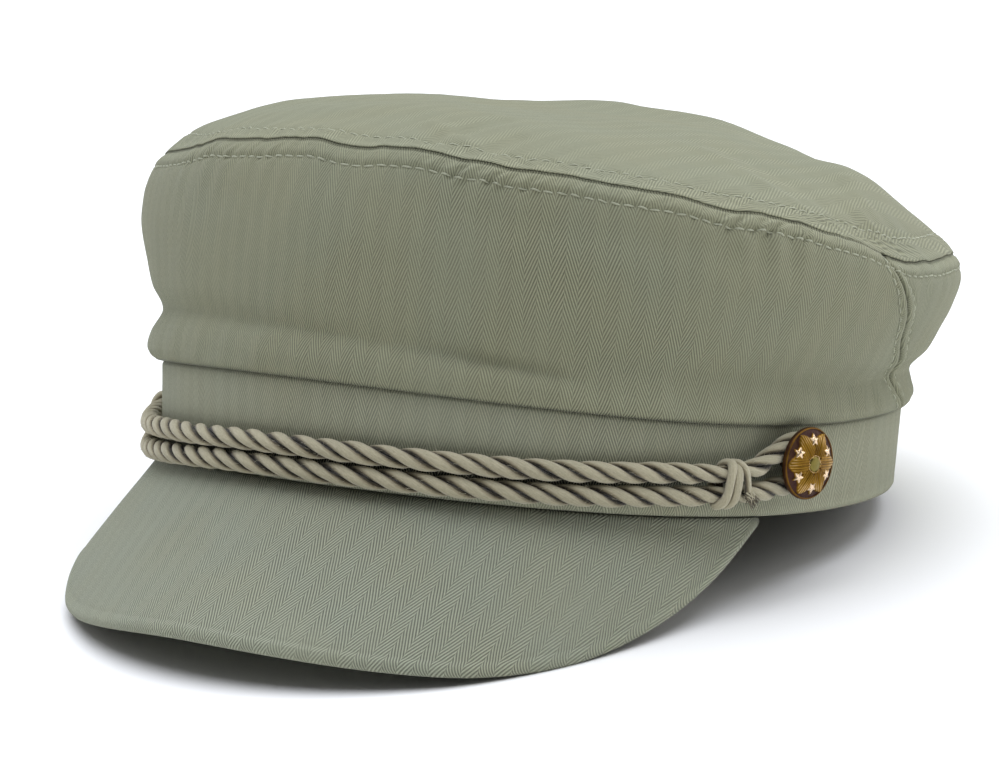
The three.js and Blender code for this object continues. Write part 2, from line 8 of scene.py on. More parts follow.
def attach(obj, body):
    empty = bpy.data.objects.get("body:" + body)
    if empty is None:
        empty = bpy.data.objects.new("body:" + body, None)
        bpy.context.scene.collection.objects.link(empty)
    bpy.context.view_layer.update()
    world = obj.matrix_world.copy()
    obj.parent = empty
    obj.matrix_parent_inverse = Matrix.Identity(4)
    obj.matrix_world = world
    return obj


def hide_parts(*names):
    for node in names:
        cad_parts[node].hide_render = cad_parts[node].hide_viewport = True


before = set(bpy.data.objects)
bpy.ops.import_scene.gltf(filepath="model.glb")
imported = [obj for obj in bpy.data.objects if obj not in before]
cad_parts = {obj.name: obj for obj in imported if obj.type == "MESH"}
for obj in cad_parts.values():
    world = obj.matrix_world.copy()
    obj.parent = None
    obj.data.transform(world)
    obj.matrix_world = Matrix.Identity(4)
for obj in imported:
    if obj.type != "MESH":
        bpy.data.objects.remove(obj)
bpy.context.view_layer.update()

# Sizes in millimetres, in the level frame of the part's source
BAND_HALF_LENGTH = 102.0
BAND_HALF_WIDTH = 86.0
BAND_HEIGHT = 20.9
BAND_WALL = 2.5
BAND_FLARE = 0.8
BAND_RADIUS = 95.0
BAND_HEM = 3.2
BAND_CORNER = 0.35
BROW_RISE_LOW = 5.3
BROW_RISE_HIGH = 7.9
CLOTH = 1.6
TIP_HALF_LENGTH = 102.2
TIP_HALF_WIDTH = 96.5
TIP_BACK_SHIFT = 6.3
TIP_SEAM_HEIGHT = 67.2
TIP_FRONT_LIFT = 11.8
TIP_END_LIFT = 4.2
DOME = 21.4
DOME_POWER = 4.5
DOME_BACK_LEAN = 0.49
DOME_RIGHT_LEAN = 0.22
SIDE_PUFF = 6.5
CROWN_RADIUS = 97.0
TIP_FOLD = 3.2
FOLD_EDGE_FADE = 0.2
BAND_OVERHANG = 1.6
SIDE_SEAM_LOWER_ANGLE = 108.0
SIDE_SEAM_UPPER_ANGLE = 84.0
VISOR_LENGTH = 48.5
VISOR_THICKNESS = 3.0
VISOR_END_THICKNESS = 1.4
VISOR_EDGE_ROUND = 1.45
VISOR_HALF_ANGLE = 72.0
VISOR_FORWARD_SHARE = 0.78
VISOR_SHORT_RAY = 8.0
CORD_RADIUS = 2.4
CORD_LAY = 20.4
CORD_PUSH_AT_BUTTON = 0.3
KNOT_STRAND = 1.0
KNOT_HALF_WIDTH = 1.15
KNOT_LEFT_ANGLE = 64.0
KNOT_RIGHT_ANGLE = -66.0
KNOT_END_ANGLE = 3.5
BUTTON_RADIUS = 8.4
BUTTON_DOME = 1.5
BUTTON_RIM = 1.0
BUTTON_LEAVES = 6
BUTTON_ANGLE = 76.0
BUTTON_HEIGHT_SHARE = 0.63
SHANK_RADIUS = 2.0
GAP = 0.3
UP = np.array([0, 0, 1.0])

# How the level cap is tipped and moved to rest on the floor
REST_PITCH = math.radians(8.443)
REST_SHIFT = np.array([1.064, 12.136, 14.986])

# Sewing
STITCH_PITCH = 3.1
STITCH_LENGTH = 2.6
STITCH_RADIUS = 0.25
STITCH_RINGS = 7
STITCH_SIDES = 6
STITCH_STEP = 0.3
TIP_STITCH_INSET = 6.2
SIDE_STITCH_INSET = 4.3
SEAM_STITCH_INSET = 4.0
SEAM_ROLL = 0.45
SIDE_TOP_GAP = 0.75
SEAM_EASE = 18.0
SIDE_SEAM_GAP = 0.05
ROLL_THICKNESS = 0.12

# How fine the grids of the cloth pieces are
TIP_COLUMNS = 640
FRONT_COLUMNS = 430
BACK_COLUMNS = 400
BAND_COLUMNS = 420
VISOR_COLUMNS = 190
TIP_DEPTH = 95.0
TIP_MIDDLE_SHARE = 0.012
# Columns: way from the seam, step between rows there
TIP_ROW_STEPS = [(0, 0.28), (1.5, 0.4), (6, 0.5), (14, 1.1), (40, 2.2), (TIP_DEPTH, 4.0)]
# Columns: share of the way up, step between rows there
SIDE_ROW_STEPS = [(0, 0.007), (0.06, 0.010), (0.3, 0.012), (0.42, 0.021), (0.80, 0.018),
                  (0.88, 0.0085), (1, 0.0055)]
# How the cloth rolls in at its edges. Columns: way inwards, way up or down
TIP_ROLL = [(0.7, 0.34), (0.35, 0.32), (0.1, 0.25), (-0.02, 0.15)]
SIDE_TOP_ROLL = [(0.0, 0.19), (0.08, 0.32), (0.3, 0.37), (0.7, 0.38)]
SIDE_BOTTOM_ROLL = [(2.6, 0.12), (1.5, 0.22), (0.75, 0.22), (0.28, 0.14)]
# Degrees at which the visor's round edge has a row of points
EDGE_TURNS = (0, 22, 45, 68, 90)

# Columns: up, front, left, back, right
SIDE_PROFILE = np.array([
    [0.00, 0.00, 0.00, 0.00, 0.00],
    [0.02, 0.10, 0.06, 0.04, 0.26],
    [0.06, 0.14, 0.04, 0.02, 0.40],
    [0.14, 0.12, -0.22, -0.14, 0.16],
    [0.24, 0.10, -0.40, -0.30, -0.38],
    [0.36, 0.28, 0.08, 0.10, 0.28],
    [0.52, 0.46, 0.34, 0.38, 0.72],
    [0.68, 0.52, 0.60, 0.52, 1.04],
    [0.84, 0.44, 0.60, 0.52, 0.92],
    [0.94, 0.24, 0.32, 0.28, 0.50],
    [1.00, 0.00, 0.00, 0.00, 0.00],
])
# Columns: angle, half angle, up, half up, lean, depth
SIDE_FOLDS = [
    (-6, 38, 0.215, 0.05, -0.0016, -0.17),
    (29, 9, 0.175, 0.04, -0.0040, -0.20),
    (-4, 40, 0.10, 0.05, -0.0012, 0.09),
    (96, 6, 0.50, 0.30, 0.0, -0.20),
]
# Columns: from x, from y, to x, to y, half width, height
TIP_FOLDS = [
    (0.99, -0.12, 0.74, 0.26, 0.07, 0.55),
    (0.8, -0.28, 0.45, 0.3, 0.12, -0.45),
    (-0.3, -0.86, 0.35, -0.8, 0.09, -0.3),
    (-0.86, -0.42, -0.7, -0.52, 0.08, -0.45),
    (-0.4, -0.12, -0.24, 0.34, 0.13, 0.32),
    (-0.1, 0.44, 0.14, 0.48, 0.13, 0.7),
    (0.46, 0.47, 0.72, 0.47, 0.2, -1.55),
    (-0.6, -0.68, -0.5, -0.54, 0.08, 0.35),
    (-0.95, -0.2, -0.62, -0.76, 0.07, 1.1),
]
# Fine wrinkles of the tip, with the same columns, but the height in millimetres
TIP_WRINKLES = [
    (0.26, -0.97, 0.22, -0.61, 0.026, -0.95),
    (0.15, -0.79, 0.37, -0.89, 0.028, 0.85),
    (0.37, -0.89, 0.36, -0.73, 0.026, -0.75),
    (0.58, -0.29, 0.78, -0.33, 0.050, 0.80),
    (0.78, -0.33, 0.95, -0.28, 0.040, 0.55),
    (0.50, 0.46, 0.80, 0.07, 0.045, 0.40),
    (0.80, 0.07, 0.94, -0.07, 0.035, 0.75),
    (0.62, -0.16, 0.86, -0.18, 0.045, -0.60),
    (-0.35, -0.62, -0.12, -0.78, 0.040, 0.40),
    (-0.62, 0.10, -0.40, 0.42, 0.050, 0.50),
    (-0.15, 0.62, 0.28, 0.70, 0.045, 0.45),
]
# How far the tip's seam lies below the source's edge of the tip: angle, drop in millimetres
SEAM_DROP = np.array([
    [-60, 1.5],
    [-45, 1.6],
    [-29, 2.9],
    [-21, 1.6],
    [-14, 1.9],
    [-3, 1.2],
    [6, 2.2],
    [14, 1.1],
    [22, 1.8],
    [40, 1.0],
    [48, 0.4],
    [56, 1.4],
    [61, 0.2],
    [68, 0.5],
    [78, 1.9],
    [89, 4.2],
    [97, 2.9],
    [110, 0.7],
    [125, 1.2],
    [150, 1.5],
])
# Outline of the visor: angle round the rim, length as a share of VISOR_LENGTH, slope in degrees
VISOR_OUTLINE = np.array([
    [-72, 0.031, 58],
    [-66, 0.289, 59],
    [-58, 0.577, 53],
    [-48, 0.701, 44],
    [-34, 0.928, 45],
    [0, 1, 38],
    [34, 0.959, 43],
    [48, 0.804, 49],
    [58, 0.577, 54],
    [66, 0.309, 58],
    [72, 0.031, 58],
])
# Columns: angle, lower run, upper run, push
CORD_ROUTE = [
    (KNOT_RIGHT_ANGLE - KNOT_END_ANGLE, 0.220, 0.475, 0.6),
    (KNOT_RIGHT_ANGLE, 0.190, 0.420, 1.0),
    (-56, 0.095, 0.360, 0.3),
    (-46, 0.055, 0.335, 0.0),
    (-34, 0.075, 0.350, 0.0),
    (-20, 0.115, 0.370, 0.0),
    (-7, 0.150, 0.402, 0.0),
    (18, 0.165, 0.420, 0.0),
    (41, 0.190, 0.445, 0.0),
    (55, 0.240, 0.495, 0.4),
    (KNOT_LEFT_ANGLE, 0.290, 0.515, 1.0),
    (KNOT_LEFT_ANGLE + KNOT_END_ANGLE, 0.300, 0.555, 0.9),
]
# Line of the sharp crease low on the front of the crown: angle, up, depth in millimetres
CREASE = np.array([
    [-44, 0.275, 0.0],
    [-37, 0.262, 0.15],
    [-22, 0.240, 0.30],
    [-9, 0.214, 0.36],
    [7, 0.200, 0.42],
    [16, 0.186, 0.45],
    [22, 0.176, 0.50],
    [28, 0.163, 0.60],
    [35, 0.155, 0.80],
    [39, 0.146, 0.90],
    [43, 0.135, 0.0],
])


# Numbers and noise
def bell(value):
    return np.exp(-value * value)


def smooth(low, high, value):
    share = np.clip((value - low) / (high - low), 0, 1)
    return share * share * (3 - 2 * share)


def normalized(vectors):
    return vectors / np.maximum(np.linalg.norm(vectors, axis=-1, keepdims=True), 1e-9)


def lattice(ix, iy, seed):
    mixed = (ix * 73856093) ^ (iy * 19349663) ^ (seed * 83492791)
    mixed = (mixed ^ (mixed >> 13)) & 0x7FFFFFFF
    mixed = (mixed * 1274126177) & 0x7FFFFFFF
    mixed = (mixed ^ (mixed >> 15)) & 0x7FFFFFFF
    return mixed / 0x7FFFFFFF * 2 - 1


def noise(x, y, seed):
    """Smooth noise between -1 and 1 with features about one unit wide."""
    x, y = np.broadcast_arrays(np.asarray(x, float), np.asarray(y, float))
    ix = np.floor(x).astype(np.int64)
    iy = np.floor(y).astype(np.int64)
    fx = x - ix
    fy = y - iy
    fx = fx * fx * fx * (fx * (fx * 6 - 15) + 10)
    fy = fy * fy * fy * (fy * (fy * 6 - 15) + 10)
    low = lattice(ix, iy, seed) * (1 - fx) + lattice(ix + 1, iy, seed) * fx
    high = lattice(ix, iy + 1, seed) * (1 - fx) + lattice(ix + 1, iy + 1, seed) * fx
    return low * (1 - fy) + high * fy


def column(table, key, index):
    """Value of a table's column at a key, on a smooth curve through its rows."""
    keys = table[:, 0]
    values = table[:, index]
    last = len(keys) - 1
    before = np.maximum(np.arange(last + 1) - 1, 0)
    after = np.minimum(np.arange(last + 1) + 1, last)
    slopes = (values[after] - values[before]) / (keys[after] - keys[before])
    i = np.clip(np.searchsorted(keys, key) - 1, 0, len(keys) - 2)
    width = keys[i + 1] - keys[i]
    t = np.clip((key - keys[i]) / width, 0, 1)
    rise = values[i] * (2 * t ** 3 - 3 * t ** 2 + 1) + values[i + 1] * (3 * t ** 2 - 2 * t ** 3)
    return rise + slopes[i] * width * (t ** 3 - 2 * t ** 2 + t) + slopes[i + 1] * width * (t ** 3 - t ** 2)


# Surfaces of the cap, in the level frame
def stack(x, y, z):
    return np.stack(np.broadcast_arrays(x, y, z), -1).astype(float)


def band_normal(angle):
    return normalized(stack(np.sin(angle) / BAND_HALF_WIDTH, -np.cos(angle) / BAND_HALF_LENGTH, 0 * angle))


def brow_rise(angle):
    return np.maximum(np.cos(angle), 0) ** 2


def rim_height(angle):
    return BROW_RISE_LOW * brow_rise(angle)


def band_top(angle):
    return BAND_HEIGHT + BROW_RISE_HIGH * brow_rise(angle)


def band_point(angle, height, grow):
    share = np.clip((height - rim_height(angle)) / (band_top(angle) - rim_height(angle)), 0, 1)
    out = BAND_FLARE * share + grow
    x = (BAND_HALF_WIDTH + out) * np.sin(angle)
    y = -(BAND_HALF_LENGTH + out) * np.cos(angle)
    return stack(x, y, height)


def line_rises(x_share, y_share, lines):
    """Sum of soft ridges along lines in the tip; x and y are in shares of its half width."""
    stretch = TIP_HALF_LENGTH / TIP_HALF_WIDTH
    rises = 0
    for x0, y0, x1, y1, half_width, height in lines:
        start = np.array([x0, y0 * stretch])
        way = np.array([x1, y1 * stretch]) - start
        along = ((x_share - start[0]) * way[0] + (y_share - start[1]) * way[1]) / (way @ way)
        along = np.clip(along, 0, 1)
        distance = np.hypot(x_share - start[0] - along * way[0], y_share - start[1] - along * way[1])
        rises = rises + height * bell(distance / half_width)
    return rises


def seam_drop(angle):
    turn = (np.degrees(angle) + 180) % 360 - 180
    return column(SEAM_DROP, turn, 1) + 0.34 * noise(turn / 3.4, 0.5, 31) + 0.20 * noise(turn / 1.6, 0.5, 32)


def tip_point(angle, out):
    cosine = np.cos(angle)
    lean = DOME_BACK_LEAN * cosine + DOME_RIGHT_LEAN * np.sin(angle)
    fall = 1 - out ** DOME_POWER
    x_share = out * np.sin(angle)
    y_share = -out * cosine * TIP_HALF_LENGTH / TIP_HALF_WIDTH
    folds = TIP_FOLD * line_rises(x_share, y_share, TIP_FOLDS)
    seam = TIP_SEAM_HEIGHT + TIP_FRONT_LIFT * out * cosine + TIP_END_LIFT * out * out * np.cos(2 * angle)
    height = seam + DOME * fall * (1 - lean * out) + folds * fall
    x = TIP_HALF_WIDTH * x_share
    y = TIP_BACK_SHIFT - TIP_HALF_LENGTH * out * cosine
    return stack(x, y, height)


def side_swell(angle, up):
    weights = [np.maximum(np.cos(angle), 0) ** 2, np.maximum(np.sin(angle), 0) ** 2]
    weights += [np.maximum(-np.cos(angle), 0) ** 2, np.maximum(-np.sin(angle), 0) ** 2]
    swell = sum(weight * column(SIDE_PROFILE, up, i + 1) for i, weight in enumerate(weights))
    degrees = np.degrees(angle)
    for middle, half_angle, at, half_up, lean, depth in SIDE_FOLDS:
        turn = degrees - middle
        rise = up - at - lean * turn
        fade = np.sin(np.pi * np.clip(up, 0, 1)) ** FOLD_EDGE_FADE
        swell = swell + depth * bell(turn / half_angle) * bell(rise / half_up) * fade
    return SIDE_PUFF * swell


def side_point(angle, up):
    low = band_point(angle, band_top(angle), BAND_OVERHANG)
    low[..., 2] += GAP
    high = tip_point(angle, np.ones_like(angle))
    high[..., 2] -= seam_drop(angle) - SEAM_ROLL + SIDE_TOP_GAP
    flat = low + (high - low) * up[..., None]
    return flat + band_normal(angle) * side_swell(angle, up)[..., None]


def side_seam_angle(up):
    return np.radians(SIDE_SEAM_LOWER_ANGLE + (SIDE_SEAM_UPPER_ANGLE - SIDE_SEAM_LOWER_ANGLE) * up)


def visor_ray(angle):
    across = np.abs(angle) / math.radians(VISOR_HALF_ANGLE)
    degrees = np.degrees(angle)
    length = VISOR_LENGTH * column(VISOR_OUTLINE, degrees, 1)
    slope = np.radians(column(VISOR_OUTLINE, degrees, 2))
    thickness = VISOR_THICKNESS + (VISOR_END_THICKNESS - VISOR_THICKNESS) * across ** 8
    level = band_normal(angle) * (1 - VISOR_FORWARD_SHARE) + np.array([0, -VISOR_FORWARD_SHARE, 0])
    level = normalized(level)
    down = np.array([0, 0, -1.0])
    cosine = np.cos(slope)[..., None]
    sine = np.sin(slope)[..., None]
    return length, thickness, level * cosine + down * sine, down * cosine - level * sine


def visor_point(angle, distance, depth):
    along, under = visor_ray(angle)[2:]
    rim = band_point(angle, rim_height(angle) - GAP, 0)
    return rim + along * distance[..., None] + under * depth[..., None]


def placed(points):
    """Level millimetres to the row frame in metres."""
    x, y, z = np.moveaxis(np.asarray(points, float), -1, 0)
    cosine = math.cos(REST_PITCH)
    sine = math.sin(REST_PITCH)
    return (stack(x, y * cosine + z * sine, z * cosine - y * sine) + REST_SHIFT) / 1000


# Meshes
def add_mesh(name, points, faces, uv, marks, material):
    """A mesh from level points; uv is one pair for each corner of each face, marks one value a point."""
    mesh = bpy.data.meshes.new(name)
    mesh.from_pydata(placed(points).tolist(), [], [list(map(int, face)) for face in faces])
    if uv is not None:
        layer = mesh.uv_layers.new(name="Weave")
        layer.data.foreach_set("uv", np.asarray(uv, np.float32).ravel())
    for key, values in marks.items():
        attribute = mesh.attributes.new(key, "FLOAT", "POINT")
        attribute.data.foreach_set("value", np.asarray(values, np.float32).ravel())
    mesh.shade_smooth()
    mesh.materials.append(material)
    piece = bpy.data.objects.new(name, mesh)
    bpy.context.scene.collection.objects.link(piece)
    return piece


def grid_faces(rows, columns, closed, start=0):
    """Quads of a grid whose points are stored row by row."""
    across = columns if closed else columns - 1
    i, j = np.meshgrid(np.arange(rows - 1), np.arange(across), indexing="ij")
    i = i.ravel() * columns
    j = j.ravel()
    k = (j + 1) % columns
    return (np.stack([i + j, i + k, i + columns + k, i + columns + j], 1) + start).tolist()


def tube_faces(rings, sides, start):
    """Faces of an open tube stored ring by ring, with a cap at each end."""
    first = list(range(start, start + sides))
    last = [(rings - 1) * sides + i for i in first]
    return grid_faces(rings, sides, True, start) + [first[::-1], last]


def grid_uv(uv):
    """Corner values of a grid's quads, from values in rows; a closed grid has one more column of them."""
    corners = [uv[:-1, :-1], uv[:-1, 1:], uv[1:, 1:], uv[1:, :-1]]
    return np.stack([corner.reshape(-1, 2) for corner in corners], 1).reshape(-1, 2)


def grid_normals(points, closed):
    """Unit normals of a grid, from rows crossed with columns."""
    if closed:
        padded = np.concatenate([points[:, -1:], points, points[:, :1]], 1)
        along = np.gradient(padded, axis=1)[:, 1:-1]
    else:
        along = np.gradient(points, axis=1)
    return normalized(np.cross(along, np.gradient(points, axis=0)))


def arc_lengths(points, axis):
    steps = np.linalg.norm(np.diff(points, axis=axis), axis=-1)
    zero = np.zeros_like(np.take(steps, [0], axis=axis))
    return np.concatenate([zero, np.cumsum(steps, axis=axis)], axis)


def graded(total, marks):
    """Places from 0 to total; marks gives (place, step) pairs that the step is blended between."""
    places = [0.0]
    at, steps = zip(*marks)
    while places[-1] < total:
        places.append(places[-1] + np.interp(places[-1], at, steps))
    return np.array(places) * total / places[-1]


def crossing(ways, values, at):
    """Values where the way down each column of a grid, growing or falling, reaches a distance."""
    order = slice(None, None, 1 if ways[-1, 0] > ways[0, 0] else -1)
    down = range(ways.shape[1])
    return np.array([[np.interp(at, ways[order, j], values[order, j, k]) for k in range(3)] for j in down])


def shell(name, outer, inner_rows, thickness, uv, marks, material):
    """A cloth wall: the outer grid, an inner copy of some of its rows, and the edges between them."""
    rows, columns = outer.shape[:2]
    normals = grid_normals(outer, False)
    inner = outer[inner_rows] - normals[inner_rows] * thickness[inner_rows][..., None]
    points = np.concatenate([outer.reshape(-1, 3), inner.reshape(-1, 3)])
    start = rows * columns
    faces = grid_faces(rows, columns, False)
    faces += [face[::-1] for face in grid_faces(len(inner_rows), columns, False, start)]
    outer_last = start - columns
    inner_last = start + (len(inner_rows) - 1) * columns
    for j in range(columns - 1):
        faces.append([j, start + j, start + j + 1, j + 1])
        faces.append([outer_last + j + 1, inner_last + j + 1, inner_last + j, outer_last + j])
    for side, turn in ((0, 1), (columns - 1, -1)):
        for n, (a, b) in enumerate(zip(inner_rows, inner_rows[1:])):
            loop = [start + n * columns + side]
            loop += [i * columns + side for i in range(a, b + 1)]
            loop.append(start + (n + 1) * columns + side)
            faces.append(loop[::turn])
    point_uv = np.concatenate([uv.reshape(-1, 2), uv[inner_rows].reshape(-1, 2)])
    corners = np.concatenate([point_uv[face] for face in faces])
    values = {key: np.concatenate([value.ravel(), value[inner_rows].ravel()]) for key, value in marks.items()}
    # Points of the inner copy are marked for painted shade
    values["inner_face_shade"] = np.repeat([0, 1], [start, inner[..., 0].size])
    return add_mesh(name, points, faces, corners, values, material)


def on_path(at, arc, values):
    return np.array([np.interp(at, arc, values[:, k]) for k in range(3)])


def stitch_row(path, normals, seed):
    """Points and faces of a row of sewn stitches along a path that lies on the cloth."""
    arc = arc_lengths(path, 0)
    count = int(arc[-1] // STITCH_PITCH)
    turns = 2 * np.pi * np.arange(STITCH_SIDES)[:, None] / STITCH_SIDES
    points, faces = [], []
    random = np.random.default_rng(seed)
    for n in range(count):
        centre = (n + 0.5) * arc[-1] / count + random.normal(0, 0.07)
        tilt = random.normal(0.05, 0.05)
        size = STITCH_LENGTH * (1 + random.normal(0, 0.04))
        faces += tube_faces(STITCH_RINGS, STITCH_SIDES, len(points) * STITCH_SIDES)
        for t in np.linspace(0, 1, STITCH_RINGS):
            at = centre + (t - 0.5) * size
            up = normalized(on_path(at, arc, normals))
            ahead = on_path(at + STITCH_STEP, arc, path)
            way = normalized(ahead - on_path(at - STITCH_STEP, arc, path))
            across = np.cross(way, up)
            swell = math.sin(math.pi * t) ** 0.5
            thick = STITCH_RADIUS * (0.45 + 0.55 * swell)
            # The stitch arches over the cloth and both its ends dip into it
            middle = on_path(at, arc, path) + up * (STITCH_RADIUS * (1.15 * swell - 0.75))
            middle = middle + across * (tilt * (t - 0.5) * size)
            points.append(middle + thick * (across * np.cos(turns) + up * np.sin(turns)))
    return np.concatenate(points), faces


def joined(parts):
    points, faces, start = [], [], 0
    for part_points, part_faces in parts:
        points.append(part_points)
        faces += [[start + i for i in face] for face in part_faces]
        start += len(part_points)
    return np.concatenate(points), faces


# Materials
def new_material(name):
    material = bpy.data.materials.new(name)
    material.use_nodes = True
    tree = material.node_tree
    tree.nodes.clear()
    output = tree.nodes.new("ShaderNodeOutputMaterial")
    shader = tree.nodes.new("ShaderNodeBsdfPrincipled")
    tree.links.new(shader.outputs[0], output.inputs[0])
    return material, Nodes(tree), shader


class Nodes:
    """Short calls that add nodes to a tree; a value is a number, a colour or a socket."""

    def __init__(self, tree):
        self.tree = tree

    def put(self, socket, value):
        if isinstance(value, bpy.types.NodeSocket):
            self.tree.links.new(value, socket)
        else:
            socket.default_value = value

    def math(self, operation, *values):
        node = self.tree.nodes.new("ShaderNodeMath")
        node.operation = operation
        for socket, value in zip(node.inputs, values):
            self.put(socket, value)
        return node.outputs[0]

    def plus(self, first, second):
        return self.math("ADD", first, second)

    def minus(self, first, second):
        return self.math("SUBTRACT", first, second)

    def times(self, first, second):
        return self.math("MULTIPLY", first, second)

    def swing(self, value, amount):
        """A value from 0 to 1 as one of a given width round 0."""
        return self.times(self.minus(value, 0.5), amount)

    def noise(self, vector, scale, detail=2.0, roughness=0.5):
        node = self.tree.nodes.new("ShaderNodeTexNoise")
        self.put(node.inputs["Vector"], vector)
        self.put(node.inputs["Scale"], scale)
        self.put(node.inputs["Detail"], detail)
        self.put(node.inputs["Roughness"], roughness)
        return node.outputs["Fac"]

    def lit(self, tone, light):
        return self.mix(1.0, tone, self.vector(light, light, light), "MULTIPLY")

    def shade(self, shader, values):
        for name, value in values.items():
            self.put(shader.inputs[name], value)

    def object_coordinates(self):
        return self.tree.nodes.new("ShaderNodeTexCoord").outputs["Object"]

    def weave_coordinates(self):
        node = self.tree.nodes.new("ShaderNodeUVMap")
        node.uv_map = "Weave"
        split = self.tree.nodes.new("ShaderNodeSeparateXYZ")
        self.tree.links.new(node.outputs[0], split.inputs[0])
        return split.outputs[0], split.outputs[1]

    def vector(self, x, y, z=0.0):
        node = self.tree.nodes.new("ShaderNodeCombineXYZ")
        for socket, value in zip(node.inputs, (x, y, z)):
            self.put(socket, value)
        return node.outputs[0]

    def attribute(self, name):
        node = self.tree.nodes.new("ShaderNodeAttribute")
        node.attribute_name = name
        return node.outputs["Fac"]

    def mix(self, share, low, high, blend="MIX"):
        node = self.tree.nodes.new("ShaderNodeMix")
        node.data_type = "RGBA"
        node.blend_type = blend
        self.put(node.inputs[0], share)
        self.put(node.inputs[6], low)
        self.put(node.inputs[7], high)
        return node.outputs[2]

    def range(self, value, low, high, to_low=0.0, to_high=1.0):
        node = self.tree.nodes.new("ShaderNodeMapRange")
        for socket, entry in zip(node.inputs, (value, low, high, to_low, to_high)):
            self.put(socket, entry)
        return node.outputs[0]

    def ramp(self, value, stops):
        node = self.tree.nodes.new("ShaderNodeValToRGB")
        self.tree.links.new(value, node.inputs[0])
        elements = node.color_ramp.elements
        while len(elements) < len(stops):
            elements.new(1.0)
        for element, (place, colour) in zip(elements, stops):
            element.position = place
            element.color = colour
        return node.outputs[0]

    def bump(self, height, distance, strength):
        node = self.tree.nodes.new("ShaderNodeBump")
        self.put(node.inputs["Height"], height)
        self.put(node.inputs["Distance"], distance)
        self.put(node.inputs["Strength"], strength)
        return node.outputs[0]


def colour(red, green, blue):
    """An sRGB colour in 0 to 255 as a linear node colour."""
    def linear(value):
        share = value / 255
        return share / 12.92 if share <= 0.04045 else ((share + 0.055) / 1.055) ** 2.4
    return (linear(red), linear(green), linear(blue), 1.0)


# Herringbone twill: columns 3 mm wide, ribs half a millimetre wide that lean 21 degrees from the column
COLUMN_WIDTH = 3.0
RIB_RISE = 1.75
RIB_SLOPE = 2.6
WARP_PITCH = 0.43
WEFT_PITCH = 0.40

# Depths of the fine relief, in metres
WEAVE_DEPTH = 0.00016
THREAD_DEPTH = 0.00012
YARN_DEPTH = 0.00022
PATINA_DEPTH = 0.00012


def cloth_material(name, tone, contrast, seed):
    material, n, shader = new_material(name)
    where = n.object_coordinates()
    u, v = n.weave_coordinates()
    wander = n.noise(where, 55.0, 2.0)
    u = n.plus(u, n.swing(wander, 1.1))
    fold = n.math("PINGPONG", u, COLUMN_WIDTH)
    which = n.math("FLOOR", n.math("DIVIDE", u, COLUMN_WIDTH))
    odd = n.math("MODULO", n.math("ABSOLUTE", which), 2.0)
    climb = n.plus(n.times(fold, RIB_SLOPE), n.times(odd, 0.5 * RIB_RISE))
    line = n.math("FRACT", n.math("DIVIDE", n.plus(v, climb), RIB_RISE))
    rib = n.minus(1.0, n.math("ABSOLUTE", n.minus(n.times(line, 2.0), 1.0)))
    rib = n.range(rib, 0.15, 0.85)
    along = n.math("SINE", n.times(v, 2 * math.pi / WEFT_PITCH))
    across = n.math("SINE", n.times(u, 2 * math.pi / WARP_PITCH))
    threads = n.times(n.times(along, across), 0.5)
    fluff = n.noise(where, 2600.0, 3.0, 0.65)
    patch = n.noise(where, 26.0, 2.0)
    presence = n.range(patch, 0.34, 0.62, 0.5, 1.0)
    amount = n.times(presence, n.range(n.attribute("faint"), 0, 1, contrast, 0.45 * contrast))
    height = n.plus(n.times(rib, amount), n.times(threads, 0.22))
    height = n.plus(height, n.times(fluff, 0.55))
    weave_light = n.times(n.minus(rib, 0.52), n.times(amount, 0.85))
    column_light = n.swing(odd, -0.04)
    broad = n.swing(n.noise(where, 14.0, 3.0), 0.16)
    streak = n.noise(n.vector(n.times(u, 0.75), n.times(v, 0.09), seed), 1.0, 2.0)
    streaks = n.swing(streak, 0.07)
    fleck = n.swing(fluff, 0.40)
    light = n.plus(weave_light, column_light)
    for extra in (broad, streaks, fleck):
        light = n.plus(light, extra)
    # Lighter along seams and edges: partly wear, partly painted highlight
    light = n.plus(light, n.times(n.attribute("wear_and_highlight"), 0.22))
    # Painted shade: darker in seams, rolled edges, where parts meet and between the runs of the cord
    light = n.minus(light, n.times(n.attribute("painted_shade"), 0.42))
    # Painted shade: the inner faces of the cloth are darker
    light = n.times(n.plus(light, 1.0), n.range(n.attribute("inner_face_shade"), 0, 1, 1.0, 0.8))
    warm = n.noise(where, 40.0, 2.0)
    base = n.mix(n.range(warm, 0.38, 0.62), tone, (tone[0] * 1.02, tone[1], tone[2] * 0.97, 1.0))
    slub = n.noise(n.vector(n.times(u, 2.2), n.times(v, 0.25), seed), 1.0, 1.0)
    height = n.plus(height, n.times(slub, 0.5))
    n.shade(shader, {
        "Base Color": n.lit(base, light),
        "Roughness": n.range(rib, 0, 1, 0.94, 0.84),
        "Normal": n.bump(height, WEAVE_DEPTH, 0.7),
        "Sheen Weight": 0.08,
        "Sheen Roughness": 0.55,
        "Specular IOR Level": 0.22,
    })
    return material


def thread_material(name, tone):
    material, n, shader = new_material(name)
    where = n.object_coordinates()
    fibre = n.noise(where, 3200.0, 2.0)
    broad = n.noise(where, 60.0, 2.0)
    light = n.plus(n.range(fibre, 0.3, 0.7, 0.84, 1.12), n.range(broad, 0.35, 0.65, -0.07, 0.07))
    n.shade(shader, {
        "Base Color": n.lit(tone, light),
        "Roughness": n.range(fibre, 0.3, 0.7, 0.7, 0.85),
        "Normal": n.bump(fibre, THREAD_DEPTH, 0.8),
        "Sheen Weight": 0.2,
        "Specular IOR Level": 0.3,
    })
    return material


YARN_PITCH = 0.62


